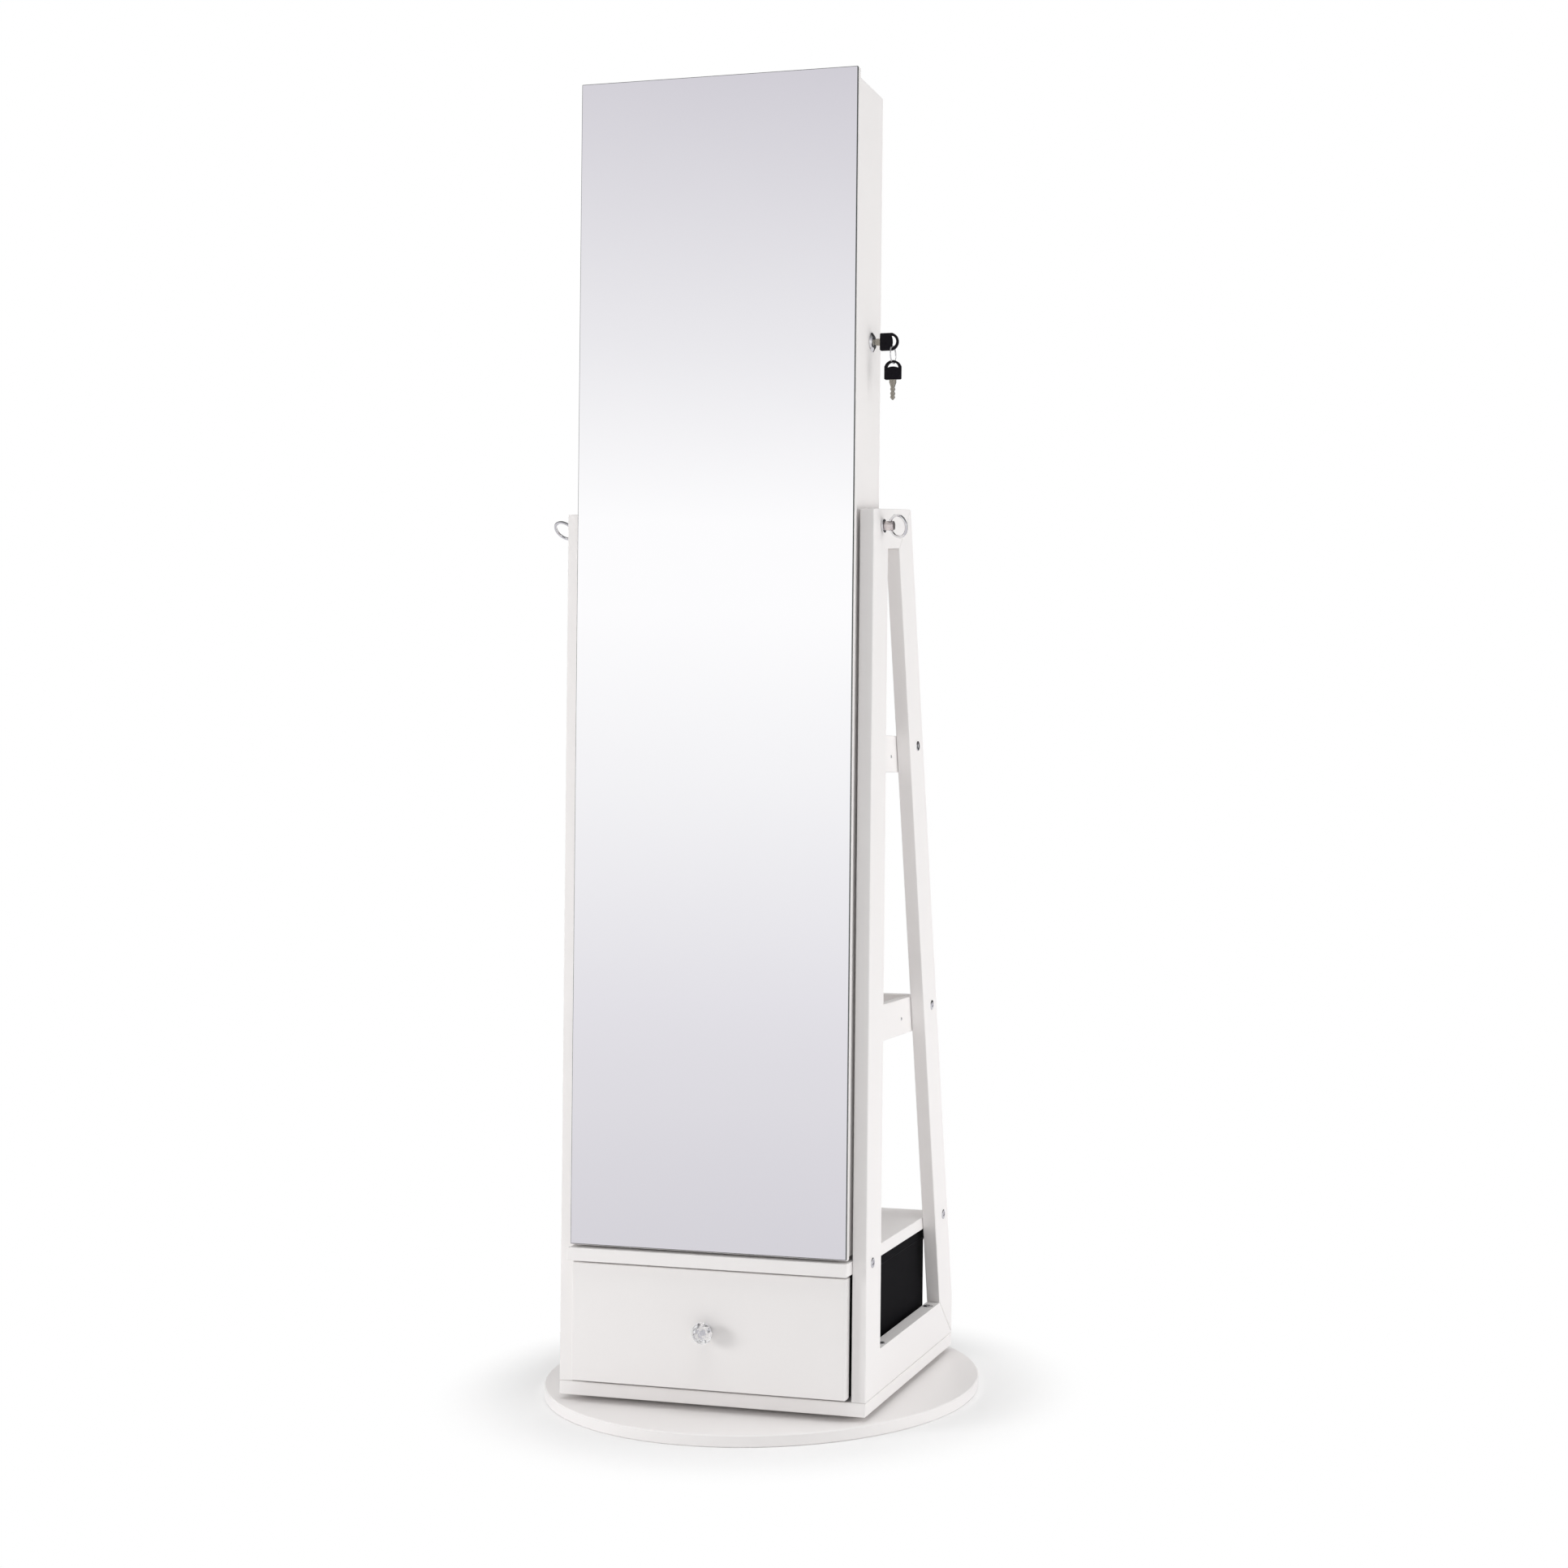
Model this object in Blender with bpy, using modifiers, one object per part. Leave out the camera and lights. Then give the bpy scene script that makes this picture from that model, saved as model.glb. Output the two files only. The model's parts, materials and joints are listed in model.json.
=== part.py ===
# Swivel mirrored jewelry cabinet. A round base carries a ball bearing, and on it turns a white A-frame with
# a drawer and two rear trays. Between the front stiles hangs a tilting cabinet with a full-height mirror
# door, a cam lock in its right wall and velvet fittings inside.
# Metres, +Z up, the mirror faces -Y, and the origin is the middle of the base's underside.

import math

import bmesh
import bpy
from mathutils import Matrix, Vector

# Overall sizes
TOTAL_HEIGHT = 1.650
BASE_DIAMETER = 0.560
BASE_THICKNESS = 0.015
BASE_EDGE = 0.0015
FRAME_WIDTH = 0.401
FRAME_DEPTH = 0.370
SIDE_FRAME_HEIGHT = 1.080

# Gaps between pieces that touch, and between pieces that move past each other
FIT = 0.0003
RUNNING = 0.0003

# Board edges
BOARD_EDGE = 0.0008

# Swivel bearing
BEARING_HEIGHT = 0.007
BEARING_INNER_RADIUS = 0.045
BEARING_OUTER_RADIUS = 0.080
RACE_RADIUS = 0.062
RACE_RIDGE_HALF = 0.0032
BEARING_SHEET = 0.0012
BALL_RADIUS = 0.0020
BALL_COUNT = 12
CAGE_THICKNESS = 0.0008
CAGE_HALF_WIDTH = 0.0027

# Side frames
BOTTOM_BOARD = 0.017
FRAME_BOARD = 0.018
STILE_WIDTH = 0.056
RAIL_HEIGHT = 0.053
TOP_BLOCK_HEIGHT = 0.049
FRAME_TOP_DEPTH = 0.148
TOP_RISE = math.radians(6.5)
MITRE_GAP = 0.0006

# Drawer-top board and drawer
DRAWER_OPENING = 0.1545
SHELF_BOARD = 0.016
SHELF_PROUD = 0.020
SHELF_REAR_INSET = 0.004
DRAWER_FRONT = 0.014
DRAWER_PROUD = 0.0115
DRAWER_SIDE_GAP = 0.0035
DRAWER_BOTTOM_GAP = 0.0045
DRAWER_TOP_GAP = 0.0035
BOX_SIDE_GAP = 0.010
BOX_TOP_GAP = 0.0040
BOX_SLIDE_GAP = 0.0004
BOX_DEPTH = 0.315
BOX_WALL = 0.0025
BOX_FLOOR = 0.003
BOX_CORNER = 0.010

# Drawer knob
KNOB_RADIUS = 0.013
KNOB_NECK_RADIUS = 0.0062
KNOB_CROWN_RADIUS = 0.0080
KNOB_START = 0.0050
KNOB_BELT_LOW = 0.0125
KNOB_BELT_HIGH = 0.0165
KNOB_LENGTH = 0.0220
KNOB_FACETS = 10
ROSETTE_RADIUS = 0.0072
ROSETTE_THICKNESS = 0.0020
STEM_RADIUS = 0.0030
STEM_LENGTH = 0.0120
KNOB_SCREW_RADIUS = 0.0020

# Rear trays
TRAY_BOARD = 0.012
TRAY_FLOOR = 0.009
TRAY_SIDE_HEIGHT = 0.046
TRAY_CLEARANCE = 0.010
MIDDLE_TRAY_HEIGHT = 0.4245
UPPER_TRAY_HEIGHT = 0.763

# Tilting cabinet
BODY_SIDE_GAP = 0.004
BODY_PROUD = 0.002
BODY_DEPTH = 0.088
BODY_WALL = 0.012
BODY_BACK = 0.003
BODY_RAISE = 0.003
LINING = 0.0025
DOOR_SIDE_GAP = 0.0025
DOOR_BOTTOM_GAP = 0.0025
DOOR_ABOVE_BODY = 0.009
DOOR_GAP = 0.0026
DOOR_PANEL = 0.008
MIRROR_GLASS = 0.003
MIRROR_LIFT = 0.0015

# Tilt bolts with their rings
TILT_SET_BACK = 0.035
TILT_BELOW_TOP = 0.017
BOLT_RADIUS = 0.0040
BOLT_HEAD_RADIUS = 0.00575
BOLT_HEAD_LENGTH = 0.0115
BOLT_END_PROUD = 0.002
WASHER_RADIUS = 0.0085
WASHER_THICKNESS = 0.002
SPACER_RADIUS = 0.010
RING_RADIUS = 0.01325
RING_WIRE_RADIUS = 0.00175
RING_HOLE_CLEARANCE = 0.0004
RING_HOLE_FROM_END = 0.0045
RIGHT_RING_SWING = math.radians(-25)
LEFT_RING_SWING = math.radians(-10)
RIGHT_BOLT_TURN = math.radians(15)
LEFT_BOLT_TURN = math.radians(45)

# Hinges
HINGE_LENGTH = 0.050
HINGE_LEAF = 0.0008
HINGE_LEAF_WIDTH = 0.011
HINGE_OUTSET = 0.0018
KNUCKLE_RADIUS = 0.0018
HINGE_PIN_RADIUS = 0.0009
KNUCKLE_GAP = 0.0004
DOOR_KNUCKLE = 0.020
LOWER_HINGE_HEIGHT = 0.250
UPPER_HINGE_DROP = 0.250

# Lock
LOCK_ABOVE_FRAME = 0.211
LOCK_SET_BACK = 0.053
ESCUTCHEON_RADIUS = 0.012
ESCUTCHEON_RIM = 0.0010
ESCUTCHEON_THICKNESS = 0.0035
ESCUTCHEON_NOSE_RADIUS = 0.0080
BARREL_RADIUS = 0.0095
BARREL_INSIDE = 0.0075
PLUG_RADIUS = 0.0065
PLUG_STUB_RADIUS = 0.0030
KEYWAY_END_GAP = 0.0010
CAM_THICKNESS = 0.0015
CAM_WIDTH = 0.014
CAM_REACH = 0.027
CAM_CORNER = 0.004
STRIKE_SHEET = 0.0015
STRIKE_ARM_GAP = 0.0027
STRIKE_LIP_REACH = 0.0008
STRIKE_FLANGE = 0.013
STRIKE_LOW = 0.0105
STRIKE_HIGH = 0.0260

# Keys
KEY_BLADE_THICKNESS = 0.0020
KEY_BLADE_WIDTH = 0.0060
KEY_BLADE_LENGTH = 0.0250
KEY_SHOULDER = 0.0073
KEY_SHOULDER_WIDTH = 0.0085
KEY_SHOULDER_TAPER = 0.0032
KEY_TANG = 0.0060
KEY_POINT = 0.0030
KEY_TIP_WIDTH = 0.0012
KEY_CUT_DEPTHS = (0.0009, 0.0012, 0.0008)
KEY_CUT_STEPS = 6
KEY_GROOVE_WIDTH = 0.0016
KEY_GROOVE_DEPTH = 0.0005
KEY_GROOVE_INSET = 0.0015
KEY_GROOVE_CORNER = 0.0005
BOW_RADIUS = 0.0112
BOW_TAPER = 0.0005
BOW_FLAT = 0.0125
BOW_CORNER = 0.0015
BOW_THICKNESS = 0.0040
BOW_RIM = 0.0027
BOW_SLOT_SHIFT = 0.0011
BOW_SLOT_REACH = math.radians(84)
BOW_SLOT_ARCH = 0.0015
KEY_RING_RADIUS = 0.0107
KEY_RING_WIRE = 0.0007
KEY_RING_FROM_CORNER = math.radians(24)

# Fittings inside the cabinet
SHELF_THICKNESS = 0.008
SHELF_DEPTH = 0.056
LOWER_SHELF_HEIGHT = 0.245
UPPER_SHELF_HEIGHT = 0.495
FITTING_LEFT_GAP = 0.0145
FITTING_RIGHT_GAP = 0.0585
CUSHION_HEIGHT = 0.630
CUSHION_ROLLS = 5
CUSHION_ROLL_RADIUS = 0.010
CUSHION_BACK = 0.010
EARRING_PANEL_DROP = 0.022
EARRING_PANEL_TALL = 0.190
EARRING_PANEL_THICKNESS = 0.004
HOOK_RAIL_DROP = 0.035
HOOK_RAIL_TALL = 0.030
HOOK_RAIL_THICKNESS = 0.010
HOOK_COUNT = 8
HOOK_RADIUS = 0.0028
HOOK_LENGTH = 0.026
HOOK_LIFT = math.radians(15)
DOOR_LINING = 0.002
DOOR_LINING_INSET = 0.045
DOOR_LINING_SIDE = 0.030

# Levels, from the floor up
BASE_TOP = BASE_THICKNESS
BOARD_BOTTOM = BASE_TOP + BEARING_HEIGHT
BOARD_TOP = BOARD_BOTTOM + BOTTOM_BOARD
FRAME_BOTTOM = BOARD_TOP + FIT
FRAME_TOP = BOARD_TOP + SIDE_FRAME_HEIGHT
RAIL_TOP = BOARD_TOP + RAIL_HEIGHT
SHELF_BOTTOM = BOARD_TOP + DRAWER_OPENING
SHELF_TOP = SHELF_BOTTOM + SHELF_BOARD
DOOR_BOTTOM = SHELF_TOP + DOOR_BOTTOM_GAP
BODY_BOTTOM = DOOR_BOTTOM + BODY_RAISE
BODY_TOP = TOTAL_HEIGHT - DOOR_ABOVE_BODY

# Planes from front to back
FRAME_FRONT = -FRAME_DEPTH / 2
FRAME_REAR = FRAME_DEPTH / 2
STILE_REAR = FRAME_FRONT + STILE_WIDTH
FRAME_TOP_REAR = FRAME_FRONT + FRAME_TOP_DEPTH
BODY_FRONT = FRAME_FRONT - BODY_PROUD
BODY_REAR = BODY_FRONT + BODY_DEPTH
DOOR_BACK = BODY_FRONT - DOOR_GAP
DOOR_FRONT = DOOR_BACK - DOOR_PANEL
MIRROR_BACK = DOOR_FRONT - FIT
MIRROR_FRONT = MIRROR_BACK - MIRROR_GLASS
LINING_BACK = BODY_REAR - BODY_BACK - FIT
LINING_FRONT = LINING_BACK - LINING

# Planes from the middle out to the side
FRAME_HALF = FRAME_WIDTH / 2
INNER_HALF = FRAME_HALF - FRAME_BOARD
BODY_HALF = INNER_HALF - BODY_SIDE_GAP
BODY_INNER_HALF = BODY_HALF - BODY_WALL
DOOR_HALF = INNER_HALF - DOOR_SIDE_GAP

# Axes that pieces turn on
TILT_Y = FRAME_FRONT + TILT_SET_BACK
TILT_Z = FRAME_TOP - TILT_BELOW_TOP
HINGE_X = -DOOR_HALF - HINGE_OUTSET
HINGE_Y = (BODY_FRONT + DOOR_BACK) / 2
LOCK_Y = BODY_FRONT + LOCK_SET_BACK
LOCK_HEIGHT = FRAME_TOP + LOCK_ABOVE_FRAME
RING_BEND = RING_RADIUS - math.sqrt(RING_RADIUS ** 2 - BOLT_HEAD_RADIUS ** 2)
RING_HOLE_RADIUS = RING_WIRE_RADIUS + RING_BEND / 2 + RING_HOLE_CLEARANCE
RING_HOLE_OUT = FRAME_HALF + 2 * FIT + WASHER_THICKNESS + BOLT_HEAD_LENGTH - RING_HOLE_FROM_END
BOW_CENTRE_X = BODY_HALF + ESCUTCHEON_THICKNESS + KEY_SHOULDER + BOW_FLAT
BOW_SLOT_RADIUS = BOW_RADIUS - BOW_RIM - BOW_SLOT_SHIFT
KEY_RING_BEND = KEY_RING_RADIUS - math.sqrt(KEY_RING_RADIUS ** 2 - (BOW_THICKNESS / 2) ** 2)
RING_SEAT_RADIUS = BOW_SLOT_RADIUS - KEY_RING_WIRE - KEY_RING_BEND - FIT
KEY_RING_SEAT = BOW_SLOT_REACH - KEY_RING_FROM_CORNER
KEY_HANG_X = BOW_CENTRE_X + BOW_SLOT_SHIFT + RING_SEAT_RADIUS * math.cos(KEY_RING_SEAT)
KEY_HANG_Z = LOCK_HEIGHT - RING_SEAT_RADIUS * math.sin(KEY_RING_SEAT)

for old in list(bpy.data.objects):
    bpy.data.objects.remove(old, do_unlink=True)


def new_collection(name):
    collection = bpy.data.collections.new(name)
    bpy.context.scene.collection.children.link(collection)
    return collection


PARTS = new_collection("jewelry_cabinet")
CUTTERS = new_collection("cutters")


def finish(name, colour, roughness, metallic=0.0, transmission=0.0):
    material = bpy.data.materials.new(name)
    material.use_nodes = True
    shader = material.node_tree.nodes["Principled BSDF"]
    shader.inputs["Base Color"].default_value = (*colour, 1.0)
    shader.inputs["Roughness"].default_value = roughness
    shader.inputs["Metallic"].default_value = metallic
    shader.inputs["Transmission Weight"].default_value = transmission
    material.diffuse_color = (*colour, 1.0)
    return material


WHITE_BOARD = finish("white_board", (0.86, 0.85, 0.84), 0.35)
BLACK_FABRIC = finish("black_fabric", (0.012, 0.011, 0.013), 0.95)
BLACK_VELVET = finish("black_velvet", (0.015, 0.014, 0.017), 1.0)
CLEAR_ACRYLIC = finish("clear_acrylic", (0.98, 0.98, 0.98), 0.03, transmission=1.0)
CHROME = finish("chrome", (0.78, 0.77, 0.76), 0.12, metallic=1.0)
STEEL = finish("bearing_steel", (0.52, 0.52, 0.53), 0.35, metallic=1.0)
SILVERED_GLASS = finish("silvered_glass", (0.90, 0.90, 0.92), 0.02, metallic=1.0)
NYLON = finish("white_nylon", (0.80, 0.80, 0.78), 0.5)
BLACK_PLASTIC = finish("black_plastic", (0.015, 0.015, 0.016), 0.45)


# Joint axes: one empty for each moving group
def pivot(name, place, parent=None):
    empty = bpy.data.objects.new(name, None)
    PARTS.objects.link(empty)
    empty["world_place"] = place
    empty.location = place
    if parent:
        empty.parent = parent
        empty.location = Vector(place) - Vector(parent["world_place"])
    return empty


BASE = pivot("base_origin", (0, 0, 0))
FRAME = pivot("swivel_axis", (0, 0, BASE_TOP), BASE)
BALLS = pivot("ball_axis", (0, 0, BASE_TOP), BASE)
DRAWER = pivot("drawer_axis", (0, FRAME_FRONT, BOARD_TOP), FRAME)
CABINET = pivot("tilt_axis", (0, TILT_Y, TILT_Z), FRAME)
DOOR = pivot("door_axis", (HINGE_X, HINGE_Y, DOOR_BOTTOM), CABINET)
LOCK = pivot("lock_axis", (BODY_HALF, LOCK_Y, LOCK_HEIGHT), CABINET)
SPARE_KEY = pivot("key_ring_axis", (KEY_HANG_X, LOCK_Y, KEY_HANG_Z), LOCK)
SIDES = ((-1, "left"), (1, "right"))
BOLT_AXES = {}
RING_AXES = {}
for side, word in SIDES:
    BOLT_AXES[side] = pivot(f"{word}_bolt_axis", (side * FRAME_HALF, TILT_Y, TILT_Z), CABINET)
    RING_AXES[side] = pivot(f"{word}_ring_axis", (side * RING_HOLE_OUT, TILT_Y, TILT_Z), BOLT_AXES[side])


def keep(piece, material, group):
    """Gives a piece its finish and hangs it, where it stands, on its group's empty."""
    piece.data.materials.clear()
    piece.data.materials.append(material)
    PARTS.objects.link(piece)
    piece.parent = group
    piece.location -= Vector(group["world_place"])
    return piece


def as_tool(tool):
    CUTTERS.objects.link(tool)
    tool.hide_render = True
    tool.display_type = "WIRE"
    return tool


def combine(piece, tool, operation):
    if tool.name not in CUTTERS.objects:
        as_tool(tool)
    step = piece.modifiers.new(operation.lower(), "BOOLEAN")
    step.object = tool
    step.operation = operation
    step.solver = "EXACT"
    return piece


def cut(piece, tool):
    return combine(piece, tool, "DIFFERENCE")


def join(piece, tool):
    return combine(piece, tool, "UNION")


def soften(piece, width):
    step = piece.modifiers.new("soft_edges", "BEVEL")
    step.width = width
    step.segments = 1
    step.limit_method = "ANGLE"
    step.angle_limit = math.radians(40)
    return piece


def block(name, low, high):
    """A box between two corners, with its origin in its middle."""
    low, high = Vector(low), Vector(high)
    mesh = bpy.data.meshes.new(name)
    shape = bmesh.new()
    bmesh.ops.create_cube(shape, size=1.0)
    bmesh.ops.scale(shape, vec=high - low, verts=shape.verts)
    shape.to_mesh(mesh)
    shape.free()
    piece = bpy.data.objects.new(name, mesh)
    piece.location = (low + high) / 2
    return piece


def board(name, low, high, group, material=WHITE_BOARD, edge=BOARD_EDGE):
    return keep(soften(block(name, low, high), edge), material, group)


def rod(name, start, end, radius, segments=24):
    """A round bar from one point to another."""
    start, end = Vector(start), Vector(end)
    way = end - start
    mesh = bpy.data.meshes.new(name)
    shape = bmesh.new()
    bmesh.ops.create_cone(
        shape, cap_ends=True, segments=segments, radius1=radius, radius2=radius, depth=way.length)
    bmesh.ops.rotate(shape, verts=shape.verts, matrix=way.to_track_quat("Z", "Y").to_matrix())
    shape.to_mesh(mesh)
    shape.free()
    piece = bpy.data.objects.new(name, mesh)
    piece.location = (start + end) / 2
    return piece


TURN_TO = {
    "+Z": Matrix.Identity(3),
    "+X": Matrix.Rotation(math.radians(90), 3, "Y"),
    "-X": Matrix.Rotation(math.radians(-90), 3, "Y"),
    "-Y": Matrix.Rotation(math.radians(90), 3, "X"),
}


def turned(name, profile, place, axis="+Z", steps=32, closed=False):
    """A turned piece. Its profile holds (radius, distance along the axis), from the far end down."""
    mesh = bpy.data.meshes.new(name)
    shape = bmesh.new()
    points = [shape.verts.new((radius, 0.0, along)) for radius, along in profile]
    pairs = list(zip(points, points[1:]))
    if closed:
        pairs.append((points[-1], points[0]))
    for first, second in pairs:
        shape.edges.new((first, second))
    shape.to_mesh(mesh)
    shape.free()
    piece = bpy.data.objects.new(name, mesh)
    piece.location = place
    piece.rotation_euler = TURN_TO[axis].to_euler()
    step = piece.modifiers.new("turn", "SCREW")
    step.axis = "Z"
    step.angle = math.tau
    step.steps = steps
    step.render_steps = steps
    step.use_merge_vertices = True
    step.merge_threshold = 0.00001
    step.use_smooth_shade = True
    return piece


def washer(name, inner, outer, thickness, place, axis, steps=32):
    profile = [(inner, thickness), (outer, thickness), (outer, 0.0), (inner, 0.0)]
    return turned(name, profile, place, axis, steps, closed=True)


LIE_IN = {
    "XY": Matrix(((1, 0, 0), (0, 1, 0), (0, 0, 1))),
    "XZ": Matrix(((1, 0, 0), (0, 0, -1), (0, 1, 0))),
    "YZ": Matrix(((0, 0, 1), (1, 0, 0), (0, 1, 0))),
}


def plate(name, outlines, thickness, place, plane):
    """A flat piece centred on its plane. The first outline is its edge and the others are its holes."""
    curve = bpy.data.curves.new(name, "CURVE")
    curve.dimensions = "2D"
    curve.fill_mode = "BOTH"
    curve.extrude = thickness / 2
    for outline in outlines:
        spline = curve.splines.new("POLY")
        spline.points.add(len(outline) - 1)
        for point, (across, up) in zip(spline.points, outline):
            point.co = (across, up, 0.0, 1.0)
        spline.use_cyclic_u = True
    drawn = bpy.data.objects.new(name, curve)
    CUTTERS.objects.link(drawn)
    view = bpy.context.evaluated_depsgraph_get()
    mesh = bpy.data.meshes.new_from_object(drawn.evaluated_get(view))
    bpy.data.objects.remove(drawn, do_unlink=True)
    bpy.data.curves.remove(curve)
    shape = bmesh.new()
    shape.from_mesh(mesh)
    bmesh.ops.remove_doubles(shape, verts=shape.verts, dist=0.00001)
    bmesh.ops.rotate(shape, verts=shape.verts, matrix=LIE_IN[plane])
    bmesh.ops.recalc_face_normals(shape, faces=shape.faces)
    shape.to_mesh(mesh)
    shape.free()
    mesh.name = name
    piece = bpy.data.objects.new(name, mesh)
    piece.location = place
    return piece


def arc(centre, radius, start, end, steps):
    across, up = centre
    turns = [start + (end - start) * i / steps for i in range(steps + 1)]
    return [(across + radius * math.cos(turn), up + radius * math.sin(turn)) for turn in turns]


def rounded_rectangle(low, high, radius, steps=4):
    quarter = math.pi / 2
    corners = ((high[0] - radius, high[1] - radius), (low[0] + radius, high[1] - radius),
               (low[0] + radius, low[1] + radius), (high[0] - radius, low[1] + radius))
    outline = []
    for turn, corner in enumerate(corners):
        outline += arc(corner, radius, turn * quarter, (turn + 1) * quarter, steps)
    return outline


def wire_ring(name, radius, wire, place, rotation, segments=32):
    bpy.ops.mesh.primitive_torus_add(
        major_radius=radius, minor_radius=wire, major_segments=segments, minor_segments=8)
    piece = bpy.context.object
    piece.name = name
    piece.data.name = name
    for collection in list(piece.users_collection):
        collection.objects.unlink(piece)
    piece.data.transform(rotation.to_4x4())
    piece.data.shade_smooth()
    piece.location = place
    return piece


# Base disc
def base_disc():
    radius = BASE_DIAMETER / 2
    disc = rod("base_disc", (0, 0, 0), (0, 0, BASE_THICKNESS), radius, segments=96)
    keep(soften(disc, BASE_EDGE), WHITE_BOARD, BASE)


# Swivel bearing: two pressed plates with facing grooves, and a cage of balls between them
def bearing():
    middle = BEARING_HEIGHT / 2
    bottom = FIT
    sheet_top = bottom + BEARING_SHEET
    ridge_top = middle - CAGE_THICKNESS / 2 - RUNNING
    groove = BALL_RADIUS + RUNNING
    mouth = math.asin((middle - ridge_top) / groove)
    lower = [(BEARING_INNER_RADIUS, sheet_top), (RACE_RADIUS - RACE_RIDGE_HALF, sheet_top),
             (RACE_RADIUS - RACE_RIDGE_HALF, ridge_top)]
    lower += arc((RACE_RADIUS, middle), groove, math.pi + mouth, math.tau - mouth, 4)
    lower += [(RACE_RADIUS + RACE_RIDGE_HALF, ridge_top), (RACE_RADIUS + RACE_RIDGE_HALF, sheet_top),
              (BEARING_OUTER_RADIUS, sheet_top), (BEARING_OUTER_RADIUS, bottom),
              (BEARING_INNER_RADIUS, bottom)]
    upper = [(radius, BEARING_HEIGHT - along) for radius, along in reversed(lower)]
    start = (0, 0, BASE_TOP)
    keep(turned("swivel_lower_plate", lower, start, steps=40, closed=True), STEEL, BASE)
    keep(turned("swivel_upper_plate", upper, start, steps=40, closed=True), STEEL, FRAME)

    cage = washer("swivel_ball_ring", RACE_RADIUS - CAGE_HALF_WIDTH, RACE_RADIUS + CAGE_HALF_WIDTH,
                  CAGE_THICKNESS, (0, 0, BASE_TOP + middle - CAGE_THICKNESS / 2), "+Z", 40)
    mesh = bpy.data.meshes.new("balls")
    shape = bmesh.new()
    for count in range(BALL_COUNT):
        turn = math.tau * count / BALL_COUNT
        seat = Matrix.Translation((RACE_RADIUS * math.cos(turn), RACE_RADIUS * math.sin(turn), 0))
        bmesh.ops.create_uvsphere(shape, u_segments=8, v_segments=6, radius=BALL_RADIUS, matrix=seat)
    shape.to_mesh(mesh)
    shape.free()
    balls = bpy.data.objects.new("balls", mesh)
    balls.location = (0, 0, BASE_TOP + middle)
    keep(join(cage, balls), STEEL, BALLS)


# Side frames: an upright front stile with its top block and bottom rail, and a slanted rear stile
def top_edge(depth):
    return FRAME_TOP + (depth - FRAME_FRONT) * math.tan(TOP_RISE)


def rear_edge_line():
    low = Vector((FRAME_REAR, RAIL_TOP))
    high = Vector((FRAME_TOP_REAR, top_edge(FRAME_TOP_REAR)))
    return low, (high - low).normalized()


def rear_stile_at(height):
    """The front and rear of the slanted stile at a height."""
    low, way = rear_edge_line()
    rear = low.x + way.x * (height - low.y) / way.y
    return rear - STILE_WIDTH / way.y, rear


def inner_corners():
    low, way = rear_edge_line()
    foot, _ = rear_stile_at(RAIL_TOP)
    slope = way.x / way.y
    rise = math.tan(TOP_RISE)
    start, _ = rear_stile_at(0.0)
    height = (FRAME_TOP - TOP_BLOCK_HEIGHT + (start - FRAME_FRONT) * rise) / (1 - slope * rise)
    return (foot, RAIL_TOP), (start + slope * height, height)


def side_frames():
    low_in, high_in = inner_corners()
    low_out = (FRAME_REAR, FRAME_BOTTOM)
    high_out = (FRAME_TOP_REAR, top_edge(FRAME_TOP_REAR))
    block_under = top_edge(STILE_REAR) - TOP_BLOCK_HEIGHT
    front = [(FRAME_FRONT, FRAME_BOTTOM), low_out, low_in, (STILE_REAR, RAIL_TOP), (STILE_REAR, block_under),
             high_in, high_out, (FRAME_FRONT, FRAME_TOP)]
    along = rear_edge_line()[1] * MITRE_GAP
    rear = [(low_out[0], low_out[1] + 2 * along.y), (FRAME_REAR, RAIL_TOP),
            (high_out[0] - along.x, high_out[1] - along.y), (high_in[0] - along.x, high_in[1] - along.y),
            (low_in[0] + along.x, low_in[1] + along.y)]
    for side, word in SIDES:
        middle = side * (FRAME_HALF - FRAME_BOARD / 2)
        stile = soften(plate(f"{word}_side_frame", [front], FRAME_BOARD, (middle, 0, 0), "YZ"), BOARD_EDGE)
        reach = FRAME_BOARD
        bore = rod(f"{word}_stile_bore", (middle - reach, TILT_Y, TILT_Z), (middle + reach, TILT_Y, TILT_Z),
                   BOLT_RADIUS + RUNNING)
        keep(cut(stile, bore), WHITE_BOARD, FRAME)
        slanted = plate(f"{word}_rear_stile", [rear], FRAME_BOARD, (middle, 0, 0), "YZ")
        keep(soften(slanted, BOARD_EDGE), WHITE_BOARD, FRAME)


def frame_boards():
    board("bottom_board", (-FRAME_HALF, FRAME_FRONT, BOARD_BOTTOM),
          (FRAME_HALF, FRAME_REAR, BOARD_TOP), FRAME)
    _, rear = rear_stile_at(SHELF_TOP)
    half = INNER_HALF - FIT
    board("drawer_top_board", (-half, FRAME_FRONT - SHELF_PROUD, SHELF_BOTTOM),
          (half, rear - SHELF_REAR_INSET, SHELF_TOP), FRAME)


# Rear trays: open boxes bolted between the rear stiles
def tray(word, height):
    bottom = BOARD_TOP + height
    top = bottom + TRAY_SIDE_HEIGHT
    front = BODY_REAR + TRAY_CLEARANCE
    stile_front, stile_rear = rear_stile_at((bottom + top) / 2)
    rear = (stile_front + stile_rear) / 2 + TRAY_BOARD / 2
    half = INNER_HALF - FIT
    inside = half - TRAY_BOARD
    for side, name in SIDES:
        near, far = sorted((side * inside, side * half))
        board(f"{word}_tray_{name}", (near, front, bottom), (far, rear, top), FRAME)
    across = inside - FIT
    board(f"{word}_tray_front", (-across, front, bottom), (across, front + TRAY_BOARD, top), FRAME)
    board(f"{word}_tray_back", (-across, rear - TRAY_BOARD, bottom), (across, rear, top), FRAME)
    board(f"{word}_tray_floor", (-across, front + TRAY_BOARD + FIT, bottom),
          (across, rear - TRAY_BOARD - FIT, bottom + TRAY_FLOOR), FRAME)


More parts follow.
